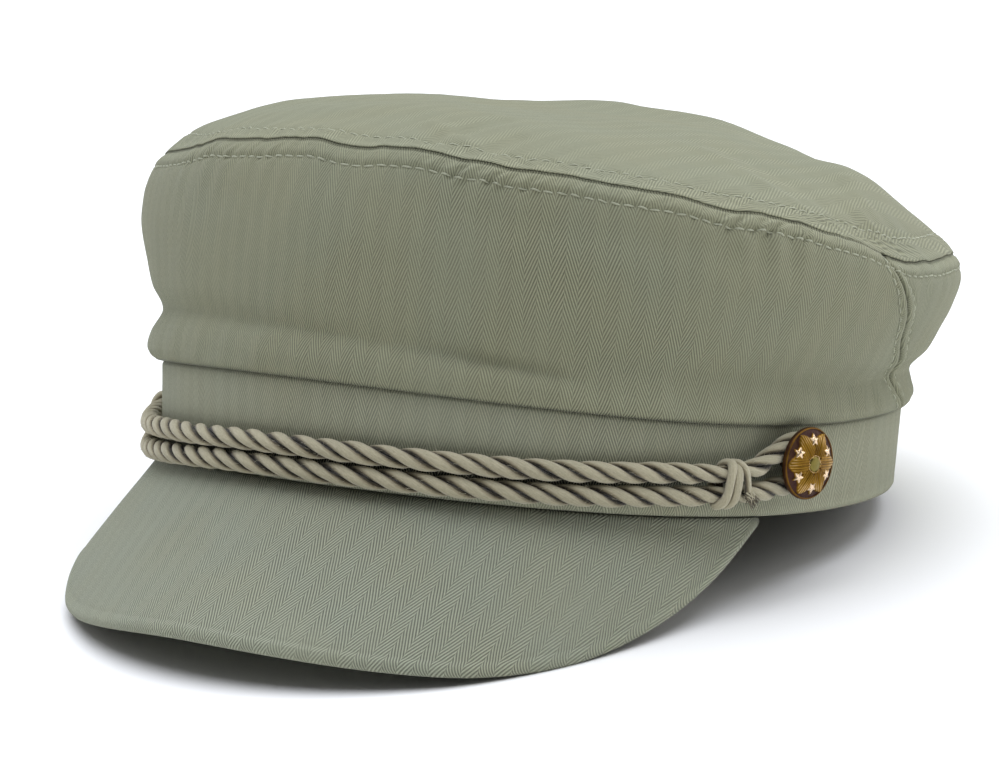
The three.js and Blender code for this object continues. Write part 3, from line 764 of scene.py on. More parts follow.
def cord_material(name, tone):
    """Soft cotton strands: yarns along each strand, and painted shade, darker and browner, where strands press
    together.
    """
    material, n, shader = new_material(name)
    where = n.object_coordinates()
    u, v = n.weave_coordinates()
    turn = n.plus(u, n.times(v, 0.16))
    wander = n.noise(n.vector(n.times(u, 0.8), n.times(v, 0.22)), 1.0, 2.0)
    turn = n.plus(turn, n.times(wander, 0.8))
    yarn = n.math("SINE", n.times(turn, 2 * math.pi / YARN_PITCH))
    yarn = n.range(yarn, -1.0, 0.6)
    fibre = n.noise(n.vector(n.times(turn, 7.0), n.times(v, 0.9)), 1.0, 3.0, 0.6)
    fluff = n.noise(where, 2000.0, 3.0, 0.6)
    broad = n.noise(where, 45.0, 2.0)
    light = n.range(yarn, 0, 1, 0.97, 1.02)
    light = n.plus(light, n.range(fibre, 0.3, 0.7, -0.13, 0.13))
    light = n.plus(light, n.range(fluff, 0.3, 0.7, -0.06, 0.06))
    light = n.plus(light, n.range(broad, 0.35, 0.65, -0.05, 0.05))
    # Painted shade, darker and browner, where the strands press together
    painted_shade = n.attribute("painted_shade")
    light = n.minus(light, n.times(painted_shade, 0.90))
    shade_browned_tone = n.mix(painted_shade, tone, (tone[0] * 0.90, tone[1] * 0.78, tone[2] * 0.62, 1.0))
    height = n.plus(n.times(yarn, 0.2), n.times(fibre, 0.7))
    height = n.plus(height, n.times(fluff, 0.4))
    n.shade(shader, {
        "Base Color": n.lit(shade_browned_tone, light),
        "Roughness": n.range(fibre, 0.3, 0.7, 0.86, 0.95),
        "Normal": n.bump(height, YARN_DEPTH, 0.9),
        "Sheen Weight": 0.25,
        "Sheen Roughness": 0.6,
        "Specular IOR Level": 0.2,
    })
    return material


def brass_material(name):
    """Antique brass: gold on the raised edges, brown in the hollows, a little green on the boss."""
    material, n, shader = new_material(name)
    where = n.object_coordinates()
    relief = n.attribute("relief")
    grain = n.noise(where, 900.0, 4.0, 0.6)
    patch = n.noise(where, 260.0, 3.0, 0.6)
    place = n.plus(relief, n.swing(patch, 0.45))
    tone = n.ramp(place, [
        (0.0, colour(58, 26, 16)),
        (0.28, colour(100, 70, 22)),
        (0.55, colour(146, 112, 38)),
        (0.88, colour(226, 200, 168)),
    ])
    rough = n.plus(n.range(relief, 0.0, 1.0, 0.52, 0.26), n.range(grain, 0.3, 0.7, -0.08, 0.10))
    height = n.plus(n.times(grain, 0.5), n.times(patch, 0.6))
    n.shade(shader, {
        "Base Color": n.mix(n.attribute("patina"), tone, colour(112, 118, 70)),
        "Roughness": rough,
        "Metallic": n.range(relief, 0.0, 0.35, 0.55, 1.0),
        "Normal": n.bump(height, PATINA_DEPTH, 0.7),
    })
    return material


crown_cloth = cloth_material("crown_cloth", colour(132, 134, 111), 0.95, 1.0)
band_cloth = cloth_material("band_cloth", colour(143, 145, 124), 0.9, 2.0)
visor_cloth = cloth_material("visor_cloth", colour(137, 141, 123), 1.1, 3.0)
thread = thread_material("stitching_thread", colour(164, 166, 143))
cotton = cord_material("cord_cotton", colour(172, 165, 138))
brass = brass_material("antique_brass")


# Crown tip
def seam_detail(distance, along, seed, stitch_inset, puckered, swell):
    """Swell and puckers of the cloth beside a seam, in millimetres outward."""
    allowance = smooth(0.0, 1.0, distance) * (1 - smooth(stitch_inset - 1.2, stitch_inset + 0.2, distance))
    dimple = bell((distance - stitch_inset) / 0.75)
    between = np.abs(np.sin(np.pi * along / STITCH_PITCH))
    warp = along + 1.6 * noise(along / 9, 0.5, seed) + 0.85 * distance
    strength = 0.25 + 0.75 * smooth(-0.5, 0.7, noise(along / 22, 1.5, seed + 1))
    pucker = np.sin(2 * np.pi * warp / 4.3) + 0.6 * np.sin(2 * np.pi * warp / 2.9 + 1.3)
    reach = smooth(0.3, 2.2, distance) * (1 - smooth(stitch_inset, stitch_inset + 2.6, distance))
    drag = np.sin(2 * np.pi * (along + 2 * noise(along / 17, 2.5, seed + 2)) / 8.6)
    far = smooth(stitch_inset - 0.5, stitch_inset + 2, distance)
    far = far * (1 - smooth(stitch_inset + 3, stitch_inset + 15, distance))
    raised = swell * allowance - dimple * (0.20 + 0.16 * (1 - between))
    return raised + puckered * strength * (0.33 * pucker * reach + 0.26 * drag * far)


def make_tip():
    columns = TIP_COLUMNS
    angle = 2 * np.pi * np.arange(columns) / columns
    # Rows from the seam inwards
    out = 1 - graded(TIP_DEPTH, TIP_ROW_STEPS) / TIP_DEPTH * (1 - TIP_MIDDLE_SHARE)
    grid_angle, grid_out = np.meshgrid(angle, out)
    points = tip_point(grid_angle, grid_out)
    normals = grid_normals(points, True)
    normals *= np.sign(normals[..., 2:3].mean())
    distance = arc_lengths(points, 0)
    edge = points[0]
    along = arc_lengths(np.concatenate([edge, edge[:1]]), 0)[:-1]
    x, y = points[..., 0], points[..., 1]
    turn = (np.degrees(grid_angle) + 180) % 360 - 180
    puckered = 0.45 + 0.55 * bell((turn - 45) / 45)
    raised = seam_detail(distance, along + 0 * distance, 11, TIP_STITCH_INSET, puckered, 0.12)
    quiet = smooth(4, 16, distance)
    raised += quiet * (0.75 * noise(x / 34, y / 30, 3) + 0.28 * noise(x / 15, y / 19, 4))
    raised += quiet * 0.07 * noise(x / 5, y / 6, 5)
    x_share = grid_out * np.sin(grid_angle) + 0.02 * noise(x / 12, y / 12, 6)
    y_share = -grid_out * np.cos(grid_angle) * TIP_HALF_LENGTH / TIP_HALF_WIDTH
    raised += smooth(1, 7, distance) * line_rises(x_share, y_share, TIP_WRINKLES)
    points = points + normals * raised[..., None]
    points[..., 2] -= (seam_drop(angle) - SEAM_ROLL) * (1 - smooth(0, SEAM_EASE, distance))
    # The edge rolls in under itself
    outward = band_normal(angle)
    roll = [points[0] - outward * inward - UP * drop for inward, drop in TIP_ROLL]
    full = np.concatenate([np.stack(roll), points])
    rows = len(full)
    centre = full[-1].mean(0)[None]
    inner_rows = [0, 3] + list(range(len(roll) + 8, rows, 6))
    if inner_rows[-1] != rows - 1:
        inner_rows.append(rows - 1)
    inner = full[inner_rows] - UP * CLOTH
    inner[0] = full[0] - outward * 0.3 - UP * 0.02
    inner[1] = full[0] - outward * 1.1 + UP * 0.1
    all_points = np.concatenate([full.reshape(-1, 3), inner.reshape(-1, 3), centre, centre - UP * CLOTH])
    start = rows * columns
    top = start + len(inner_rows) * columns
    faces = [face[::-1] for face in grid_faces(rows, columns, True)]
    faces += grid_faces(len(inner_rows), columns, True, start)
    for j in range(columns):
        k = (j + 1) % columns
        faces.append([start - columns + k, start - columns + j, top])
        faces.append([top - columns + j, top - columns + k, top + 1])
        faces.append([start + k, start + j, j, k])
    corners = np.concatenate([all_points[face, :2] for face in faces])
    way = np.concatenate([np.zeros((len(roll), columns)), distance])
    # Painted shade in the edge that rolls in at the seam
    painted_shade = np.zeros((rows, columns))
    painted_shade[:2] = 0.8

    def filled(outer, rest):
        return np.concatenate([outer.ravel(), np.full(len(all_points) - start, float(rest))])

    # Inner faces take painted shade
    inner_face_shade = filled(0 * way, 1)
    inner_face_shade[top] = 0
    # Lighter just inside the seam: partly wear, partly painted highlight
    marks = {
        "wear_and_highlight": filled(0.35 * bell((way - 1.3) / 0.9), 0),
        "painted_shade": filled(painted_shade, 0),
        "inner_face_shade": inner_face_shade,
        "faint": filled(smooth(2, 12, way), 0),
    }
    piece = add_mesh("crown_tip_cloth", all_points, faces, corners, marks, crown_cloth)
    path = crossing(distance, points, TIP_STITCH_INSET)
    path_normals = normals[np.argmin(np.abs(distance[:, 0] - TIP_STITCH_INSET))]
    return piece, stitch_row(np.append(path, path[:1], 0), np.append(path_normals, path_normals[:1], 0), 21)


def upright_way_round(points, angle):
    """Way round the cap in millimetres, the same all the way up any upright line."""
    turn = np.arctan2(points[..., 0] / BAND_HALF_WIDTH, -(points[..., 1] - 3.0) / BAND_HALF_LENGTH)
    return (angle + (turn - angle + np.pi) % (2 * np.pi) - np.pi) * CROWN_RADIUS


def make_side_panel(name, start_angle, end_angle, columns, seed):
    """A panel of the crown's side; the angles are given as functions of the share of the way up."""
    share = np.linspace(0, 1, columns)
    # Columns are closer together at both ends, beside the side seams
    share = share - 0.0095 * np.sin(2 * np.pi * share)
    up = graded(1.0, SIDE_ROW_STEPS)[:, None] + 0 * share
    gap = SIDE_SEAM_GAP / BAND_HALF_WIDTH
    low = start_angle(up) + gap
    angle = low + (end_angle(up) - gap - low) * share
    points = side_point(angle, up)
    normals = grid_normals(points, False)
    outward = band_normal(angle)
    normals *= np.sign((normals * outward).sum(-1).mean())
    from_bottom = arc_lengths(points, 0)
    height = from_bottom[-1:]
    from_top = height - from_bottom
    from_start = arc_lengths(points, 1)
    from_end = from_start[:, -1:] - from_start
    from_side = np.minimum(from_start, from_end)
    along = upright_way_round(points, angle)
    degrees = np.degrees(angle)
    front = bell((degrees - 50) / 32)
    raised = seam_detail(from_top, along, seed, SIDE_STITCH_INSET, 0.5 + 1.2 * front, 0.34)
    raised += front * (0.30 * bell((from_top - 3.0) / 2.4) - 0.8 * bell((from_top - 11.5) / 5.0))
    side = seam_detail(from_side, from_bottom, seed + 5, SEAM_STITCH_INSET, 0.55, 0.35)
    side = side * smooth(0.5, 6.0, from_top) * smooth(0, 2, from_bottom)
    raised = raised * smooth(0.0, 5.0, from_side) + side
    # The side seam itself sinks in
    raised -= 0.75 * bell(from_side / 0.7)
    quiet = smooth(4, 16, from_top) * smooth(0, 9, from_side) * smooth(0, 5, from_bottom)
    raised += quiet * 0.55 * noise(along / 26, from_bottom / 36, seed + 7)
    raised += quiet * 0.22 * noise(along / 11, from_bottom / 22, seed + 8)
    raised += quiet * 0.06 * noise(along / 4.5, from_bottom / 5, seed + 9)
    # Wrinkles that the side seams draw in
    beside_seam = smooth(0.5, 4, from_side) * bell(from_side / 17) * smooth(0, 6, from_bottom)
    raised += 0.60 * beside_seam * noise(from_side / 24 + 0.3 * from_bottom / 24, from_bottom / 8, seed + 11)
    crease_up = np.interp(degrees, CREASE[:, 0], CREASE[:, 1])
    crease_depth = np.interp(degrees, CREASE[:, 0], CREASE[:, 2], left=0, right=0)
    offset = (up - crease_up) * height + 0.35 * noise(along / 12, 3.5, seed + 3)
    raised -= crease_depth * bell(offset / np.where(offset > 0, 2.6, 0.9))
    raised += 0.8 * crease_depth * bell((offset + 2.6) / 2.0)
    # Small folds rise from the band's seam
    gather = np.sin(2 * np.pi * (along + 3 * noise(along / 15, 6.5, seed + 4)) / 12.5)
    gather = gather * smooth(0.3, 2.5, from_bottom) * (1 - smooth(4, 15, from_bottom))
    raised += 0.16 * gather * smooth(0, 5, from_side)
    points = points + normals * raised[..., None]
    # The top edge rolls in under the tip, and the bottom edge rolls in over the band
    top = [points[-1] - outward[-1] * inward + UP * lift for inward, lift in SIDE_TOP_ROLL]
    bottom = [points[0] - outward[0] * inward - UP * drop for inward, drop in SIDE_BOTTOM_ROLL]
    full = np.concatenate([np.stack(bottom), points, np.stack(top)])
    rim = len(SIDE_TOP_ROLL)

    def edged(values):
        return np.concatenate([values[:1].repeat(rim, 0), values, values[-1:].repeat(rim, 0)])

    # Lighter beside the top seam and the side seams: partly wear, partly painted highlight
    wear_and_highlight = 0.4 * bell((edged(from_top) - 1.6) / 1.1) + 0.35 * bell((edged(from_side) - 1.8) / 1.0)
    # Painted shade in the seams at the top, at both sides and at the bottom
    painted_shade = 0.7 * bell(edged(from_top) / 0.25) + 0.7 * bell(edged(from_side) / 0.5)
    painted_shade = np.clip(painted_shade + bell(edged(from_bottom) / 0.4), 0, 1)
    rows = len(full)
    inner_rows = [0, rim - 1] + list(range(rim + 3, rows - 5, 7)) + [rows - rim, rows - 1]
    thickness = np.full((rows, columns), CLOTH)
    thickness[:rim] = ROLL_THICKNESS
    thickness[-rim:] = ROLL_THICKNESS
    uv = np.stack([edged(along), edged(from_bottom)], -1)
    piece = shell(name, full, inner_rows, thickness, uv, {"wear_and_highlight": wear_and_highlight, "painted_shade": painted_shade}, crown_cloth)
    # Stitches run below the tip's seam, and beside both side seams
    lines = [[crossing(from_top, grid, SIDE_STITCH_INSET) for grid in (points, normals)]]
    between = (from_top[:, 0] > 1.2) & (from_bottom[:, 0] > 0.8)
    for way in (from_start, from_end):
        upright = [crossing(way.T, grid.swapaxes(0, 1), SEAM_STITCH_INSET) for grid in (points, normals)]
        lines.append([line[between] for line in upright])
    stitches = [stitch_row(path, normalized(normal), seed + 30 + i) for i, (path, normal) in enumerate(lines)]
    return piece, stitches


tip, tip_stitches = make_tip()
front_panel, front_stitches = make_side_panel(
    "crown_front_cloth", lambda up: -side_seam_angle(up), side_seam_angle, FRONT_COLUMNS, 40)
back_panel, back_stitches = make_side_panel(
    "crown_back_cloth", side_seam_angle, lambda up: 2 * np.pi - side_seam_angle(up), BACK_COLUMNS, 60)
stitch_points, stitch_faces = joined([tip_stitches, *front_stitches, *back_stitches])
topstitching = add_mesh("crown_topstitching", stitch_points, stitch_faces, None, {}, thread)


# Band
def make_band():
    angle = 2 * np.pi * np.arange(BAND_COLUMNS) / BAND_COLUMNS
    beside_rim = [0.0, 0.02, 0.045, 0.075]
    beside_top = [0.955, 0.975, 0.99, 1.0]
    height_share = np.concatenate([beside_rim, np.linspace(0.11, 0.93, 20), beside_top])
    a, share = np.meshgrid(angle, height_share)
    low = rim_height(a)
    high = band_top(a)
    z = low + (high - low) * share
    points = band_point(a, z, 0 * a)
    normals = band_normal(a)
    along = a * BAND_RADIUS
    up = z - low
    down = high - z
    raised = 0.16 * noise(along / 30, up / 20, 81) + 0.07 * noise(along / 9, up / 9, 82)
    # A faint turned-in edge along the rim, and rounded corners
    raised = raised - 0.05 * bell((up - BAND_HEM) / 0.6)
    raised = raised - 0.55 * bell(up / 0.5) - 0.6 * bell(down / 0.5)
    points = points + normals * raised[..., None]
    inner_low = band_point(angle, rim_height(angle), -BAND_WALL)
    inner_high = band_point(angle, band_top(angle), -BAND_WALL)
    corner = BAND_CORNER * normals[0]
    loop = [points[-1] - corner, inner_high + corner, inner_high - UP * 0.4]
    loop += [inner_low + (inner_high - inner_low) * part for part in (0.75, 0.5, 0.25)]
    loop += [inner_low + UP * 0.4, inner_low + corner, points[0] - corner]
    full = np.concatenate([points, loop])
    total = len(full)
    last = (total - 1) * BAND_COLUMNS
    faces = grid_faces(total, BAND_COLUMNS, True)
    for j in range(BAND_COLUMNS):
        k = (j + 1) % BAND_COLUMNS
        faces.append([last + j, last + k, k, j])
    heights = np.concatenate([z, full[len(points):, :, 2]])
    heights = np.append(heights, heights[:, :1], 1)
    round_band = np.append(along[0], 2 * np.pi * BAND_RADIUS)
    uv = np.stack([np.broadcast_to(round_band, heights.shape), heights], -1)
    corners = np.concatenate([grid_uv(uv), grid_uv(np.stack([uv[-1], uv[0]]))])
    # Painted shade: the cloth is darker between the two runs of the cord, and under the crown's edge along the
    # top
    route = np.array(CORD_ROUTE)
    degrees = np.degrees((a + np.pi) % (2 * np.pi) - np.pi)
    middle = BAND_HEIGHT * np.interp(degrees, route[:, 0], (route[:, 1] + route[:, 2]) / 2)
    in_front = 1 - smooth(KNOT_LEFT_ANGLE, BUTTON_ANGLE, np.abs(degrees))
    marks = {key: np.zeros((total, BAND_COLUMNS)) for key in ("wear_and_highlight", "painted_shade", "inner_face_shade")}
    # Lighter along the bottom edge: partly wear, partly painted highlight
    marks["wear_and_highlight"][:len(points)] = 0.5 * bell((up - 1.2) / 0.9)
    marks["painted_shade"][:len(points)] = 0.6 * bell(down / 0.4) + 1.5 * bell((up - middle) / 1.6) * in_front
    # The inner wall takes painted shade
    marks["inner_face_shade"][len(points) + 2:-2] = 1
    return add_mesh("band_cloth_wall", full.reshape(-1, 3), faces, corners, marks, band_cloth)


band = make_band()


# Visor
def beside(a, b, from_a, from_b, way):
    """The point at given distances from two flat points, on one side of the line through them."""
    base = b - a
    size = math.hypot(*base)
    along = (from_a ** 2 - from_b ** 2 + size ** 2) / (2 * size)
    aside = math.sqrt(max(from_a ** 2 - along ** 2, 0))
    unit = base / size
    return a + unit * along + way * aside * np.array([unit[1], -unit[0]])


def unrolled(rim, edge):
    """Flat places of the rim and the edge of the visor when it is rolled out from its middle."""
    rays = np.linalg.norm(edge - rim, axis=1)
    count = len(rim)
    middle = count // 2
    flat = np.zeros((2, count, 2))
    flat[1, middle, 1] = rays[middle]
    for way in (1, -1):
        for k in range(middle + way, count if way > 0 else -1, way):
            j = k - way
            if rays[k] < VISOR_SHORT_RAY:
                flat[:, k] = 2 * flat[:, j] - flat[:, j - way]
                continue
            for line, points in enumerate((rim, edge)):
                from_rim = np.linalg.norm(points[k] - rim[j])
                from_edge = np.linalg.norm(points[k] - edge[j])
                flat[line, k] = beside(flat[0, j], flat[1, j], from_rim, from_edge, way)
    return flat


def make_visor():
    columns = VISOR_COLUMNS
    turn = np.sin(np.pi * (np.arange(columns) / (columns - 1) - 0.5))
    angle = math.radians(VISOR_HALF_ANGLE) * turn
    length, thickness = visor_ray(angle)[:2]
    share = np.concatenate([np.linspace(0, 0.9, 34), np.linspace(0.9, 1, 12)[1:]])
    edge = VISOR_EDGE_ROUND * thickness / VISOR_THICKNESS
    flat = length - edge
    # Distance from the rim and depth below the upper face: over the top, round the edge, back below
    profile = [(flat * s, 0 * flat) for s in share]
    for r in np.radians(EDGE_TURNS[1:]):
        profile.append((flat + edge * math.sin(r), edge * (1 - math.cos(r))))
    for r in np.radians(EDGE_TURNS):
        profile.append((flat + edge * math.cos(r), thickness - edge + edge * math.sin(r)))
    profile += [(flat * s, thickness) for s in share[::-3]]
    distance, depth = np.stack(profile, 1)
    points = visor_point(np.broadcast_to(angle, distance.shape), distance, depth)
    top_rows = len(share)
    from_edge = length - distance
    x = points[..., 0]
    raised = 0.22 * noise(x / 30, distance / 24, 91) + 0.07 * noise(x / 9, distance / 9, 92)
    # The cloth is drawn over the board's edge and shows a faint line beside it
    raised = raised - 0.14 * bell((from_edge - 3.1) / 0.55) + 0.10 * bell((from_edge - 1.6) / 1.0)
    raised = raised * smooth(0.0, 3.0, distance)
    raised[top_rows:] = 0
    points = points - visor_ray(angle)[3] * raised[..., None]
    seat_top = band_point(angle, rim_height(angle) - GAP, -BAND_WALL)
    seat_bottom = seat_top - UP * thickness[:, None]
    points = np.concatenate([seat_top[None], points, [(points[-1] + seat_bottom) / 2, seat_bottom]])
    total = len(points)
    last = (total - 1) * columns
    faces = [face[::-1] for face in grid_faces(total, columns, False)]
    faces += [[last + j + 1, j + 1, j, last + j] for j in range(columns - 1)]
    side = [i * columns for i in range(total)]
    faces += [side, [i + columns - 1 for i in side[::-1]]]
    zero = 0 * angle
    flat_rim, flat_edge = unrolled(visor_point(angle, zero, zero), visor_point(angle, length, zero))
    flat_uv = flat_rim + normalized(flat_edge - flat_rim) * (distance + depth)[..., None]
    uv_points = np.concatenate([flat_uv[:1], flat_uv, flat_uv[-1:], flat_uv[:1]]).reshape(-1, 2)
    corners = np.concatenate([uv_points[face] for face in faces])
    marks = {key: np.zeros((total, columns)) for key in ("wear_and_highlight", "painted_shade", "inner_face_shade")}
    # Lighter along the front edge: partly wear, partly painted highlight
    marks["wear_and_highlight"][1:top_rows + 6] = bell((from_edge[:top_rows + 5] - 0.6) / 1.1) * 0.55
    # Painted shade where the visor meets the band
    marks["painted_shade"][1:top_rows + 1] = 0.9 * bell(distance[:top_rows] / 1.0)
    # The underside takes painted shade
    marks["inner_face_shade"][top_rows + 10:] = 1
    return add_mesh("visor_cloth_cover", points.reshape(-1, 3), faces, corners, marks, visor_cloth)


visor = make_visor()


# Cord
def catmull_rom(knots, count):
    """Points of a closed centripetal curve through the knots."""
    knots = np.asarray(knots, float)
    total = len(knots)
    place = np.arange(count) / count * total
    i = np.floor(place).astype(int) % total
    t = (place - np.floor(place))[:, None]
    p0, p1, p2, p3 = (knots[(i + k) % total] for k in (-1, 0, 1, 2))
    d0 = np.sqrt(np.linalg.norm(p1 - p0, axis=1))[:, None]
    d1 = np.sqrt(np.linalg.norm(p2 - p1, axis=1))[:, None]
    d2 = np.sqrt(np.linalg.norm(p3 - p2, axis=1))[:, None]
    m1 = ((p1 - p0) / d0 - (p2 - p0) / (d0 + d1) + (p2 - p1) / d1) * d1
    m2 = ((p2 - p1) / d1 - (p3 - p1) / (d1 + d2) + (p3 - p2) / d2) * d1
    a = 2 * p1 - 2 * p2 + m1 + m2
    b = -3 * p1 + 3 * p2 - 2 * m1 - m2
    return p1 + m1 * t + b * t ** 2 + a * t ** 3


def stand_off(push):
    return CORD_RADIUS + GAP + push * (2 * KNOT_STRAND + GAP)


def cord_axis():
    loop_radius = SHANK_RADIUS + GAP + CORD_RADIUS
    flat = []

    def add(degrees, above, push):
        flat.append((BAND_HALF_LENGTH * math.radians(degrees), above, stand_off(push)))

    def loop(side):
        for turn in (-90, -50, 0, 50, 90):
            along = math.degrees(loop_radius / BAND_HALF_LENGTH) * math.cos(math.radians(turn))
            above = BAND_HEIGHT * BUTTON_HEIGHT_SHARE + loop_radius * math.sin(math.radians(turn)) * side
            add(side * (BUTTON_ANGLE + along), above, CORD_PUSH_AT_BUTTON)

    for degrees, lower, upper, push in CORD_ROUTE:
        add(degrees, BAND_HEIGHT * lower, push)
    loop(1)
    for degrees, lower, upper, push in CORD_ROUTE[::-1]:
        add(degrees, BAND_HEIGHT * upper, push)
    loop(-1)
    dense = catmull_rom(flat, 2400)
    angle = dense[:, 0] / BAND_HALF_LENGTH
    out = BAND_FLARE * np.clip(dense[:, 1] / BAND_HEIGHT, 0, 1) + dense[:, 2]
    x = (BAND_HALF_WIDTH + out) * np.sin(angle)
    y = -(BAND_HALF_LENGTH + out) * np.cos(angle)
    return np.stack([x, y, rim_height(angle) + dense[:, 1]], 1)


def even(points, count):
    """A closed curve with evenly spaced points, and its length."""
    loop = np.concatenate([points, points[:1]])
    arc = arc_lengths(loop, 0)
    at = np.arange(count) / count * arc[-1]
    return np.stack([np.interp(at, arc, loop[:, k]) for k in range(3)], 1), arc[-1]


def angle_round(points):
    return np.arctan2(points[:, 0] / BAND_HALF_WIDTH, -points[:, 1] / BAND_HALF_LENGTH)


def section_axes(points, tangents):
    """Directions off the band and along it, square to a line's own direction."""
    off = band_normal(angle_round(points))
    off = normalized(off - tangents * (off * tangents).sum(-1, keepdims=True))
    return off, np.cross(tangents, off)


STRANDS = 3
STRAND_CENTRE = 1.38
STRAND_RADIUS = 1.15
STRAND_THICKNESS = 0.98
STRAND_WIDTH = 1.10
CORD_STEPS_PER_TURN = 26
STRAND_SIDES = 16
KNOT_SQUEEZE = 0.22
KNOT_REACH = 4.0
KNOT_STRAND_SIDES = 12
FRAY_COUNT = 44
FUZZ_COUNT = 2200


def hair(foot, way, bend, length, radius, start):
    """A thin bent fibre with three sides that ends in a point, and its faces."""
    share = np.array([0.0, 0.35, 0.7])
    line = foot + way * (length * share)[:, None] + bend * (0.45 * length * share ** 2)[:, None]
    tip_end = foot + way * length + bend * 0.45 * length
    side = normalized(np.cross(way, bend) + 1e-6)
    ring = [side * math.cos(turn) + bend * math.sin(turn) for turn in (0, 2 * math.pi / 3, 4 * math.pi / 3)]
    points = [middle + radius * (1 - 0.5 * t) * direction
              for middle, t in zip(line, share) for direction in ring]
    points.append(tip_end)
    faces = grid_faces(3, 3, True, start)
    faces += [[start + 6 + k, start + 6 + (k + 1) % 3, start + 9] for k in range(3)]
    faces.append([start + 2, start + 1, start])
    return np.array(points), faces


def make_cord():
    axis = cord_axis()
    length = even(axis, 100)[1]
    turns = round(length / CORD_LAY)
    count = turns * CORD_STEPS_PER_TURN
    axis = even(axis, count)[0]
    tangents = normalized(np.roll(axis, -1, 0) - np.roll(axis, 1, 0))
    off, cross = section_axes(axis, tangents)
    place = np.arange(count) / count
    degrees = np.degrees(angle_round(axis))
    # The knots press the cord together
    near_knot = sum(bell((degrees - knot) / KNOT_REACH) for knot in (KNOT_LEFT_ANGLE, KNOT_RIGHT_ANGLE))
    squeeze = 1 - KNOT_SQUEEZE * near_knot
    points, faces, corners, painted_shade = [], [], [], []
    for strand in range(STRANDS):
        theta = 2 * np.pi * (turns * place + strand / STRANDS)
        theta = theta + 0.10 * np.sin(2 * np.pi * (7 * place + strand * 0.37))
        radial = off * np.cos(theta)[:, None] + cross * np.sin(theta)[:, None]
        centres = axis + radial * (STRAND_CENTRE * squeeze)[:, None]
        way = normalized(np.roll(centres, -1, 0) - np.roll(centres, 1, 0))
        first = normalized(radial - way * (radial * way).sum(-1, keepdims=True))
        second = np.cross(way, first)
        puff = 1 + 0.05 * np.sin(2 * np.pi * (31 * place + strand * 0.2))
        puff = (puff + 0.08 * noise(place * 170, strand * 3.7, 12)) * squeeze
        turn = 2 * np.pi * np.arange(STRAND_SIDES) / STRAND_SIDES
        lobe = 1 + 0.018 * np.cos(5 * turn[None, :] - 2 * np.pi * 60 * place[:, None])
        size = STRAND_RADIUS * puff[:, None] * lobe
        ring = centres[:, None] + first[:, None] * (STRAND_THICKNESS * size * np.cos(turn))[..., None]
        ring = ring + second[:, None] * (STRAND_WIDTH * size * np.sin(turn))[..., None]
        points.append(ring.reshape(-1, 3))
        # The last ring joins the first one
        quads = np.array(grid_faces(count + 1, STRAND_SIDES, True)) % (count * STRAND_SIDES)
        faces += (quads + strand * count * STRAND_SIDES).tolist()
        around = np.arange(STRAND_SIDES + 1) / STRAND_SIDES * 2 * np.pi * STRAND_RADIUS
        along = np.arange(count + 1) / count * length
        uv = np.stack(np.broadcast_arrays(around[None, :] + 9 * strand, along[:, None]), -1)
        corners.append(grid_uv(uv))
        # Painted shade on the side of each strand that faces into the cord
        facing = np.cos(turn)[None, :] + 0 * place[:, None]
        painted_shade.append(smooth(0.72, -0.1, facing).ravel())
    # Loose fibres stand out from the strands
    random = np.random.default_rng(17)
    roots = random.integers(0, count, FUZZ_COUNT)
    start = STRANDS * count * STRAND_SIDES
    for root in roots:
        around = random.uniform(0, 2 * np.pi)
        outward = off[root] * math.cos(around) + cross[root] * math.sin(around)
        foot = axis[root] + outward * (2.15 * squeeze[root] + random.uniform(-0.15, 0.1))
        way = normalized(outward * random.uniform(0.2, 0.9) + tangents[root] * random.normal(0, 0.9))
        bend = normalized(np.cross(way, outward) * random.normal(0, 1) - outward * 0.4)
        fibre, sides_of = hair(foot, way, bend, random.uniform(0.7, 2.0), random.uniform(0.025, 0.05), start)
        points.append(fibre)
        faces += sides_of
        corners.append(np.zeros((sum(len(face) for face in sides_of), 2)))
        painted_shade.append(np.zeros(len(fibre)))
        start += len(fibre)
    return add_mesh("cord_strands", np.concatenate(points), faces, np.concatenate(corners),
                    {"painted_shade": np.concatenate(painted_shade)}, cotton)


cord = make_cord()


def strand_mesh(paths, middle, name):
    """Open tubes along paths; each path is (points, radii, how many times wider than thick)."""
    points, faces, corners, painted_shade = [], [], [], []
    start = 0
    sides = KNOT_STRAND_SIDES
    for path, radii, widen in paths:
        count = len(path)
        way = normalized(np.gradient(path, axis=0))
        reference = normalized(path - (middle if widen > 1 else path.mean(0)))
        first = normalized(reference - way * (reference * way).sum(-1, keepdims=True))
        second = np.cross(way, first)
        turn = 2 * np.pi * np.arange(sides) / sides
        size = radii[:, None]
        ring = path[:, None] + first[:, None] * (size * np.cos(turn))[..., None]
        ring = ring + second[:, None] * (size * widen * np.sin(turn))[..., None]
        points.append(ring.reshape(-1, 3))
        faces += tube_faces(count, sides, start)
        along = arc_lengths(path, 0)
        around = np.arange(sides + 1) / sides * 2 * np.pi * radii.mean()
        uv = np.stack(np.broadcast_arrays(around[None, :], along[:, None]), -1)
        corners.append(grid_uv(uv))
        corners.append(np.zeros((2 * sides, 2)))
        # Painted shade on the side of each strand that faces inwards
        facing = np.cos(turn)[None, :] + 0 * along[:, None]
        painted_shade.append((0.9 * smooth(0.55, -0.5, facing)).ravel())
        start += count * sides
    return add_mesh(name, np.concatenate(points), faces, np.concatenate(corners),
                    {"painted_shade": np.concatenate(painted_shade)}, cotton)


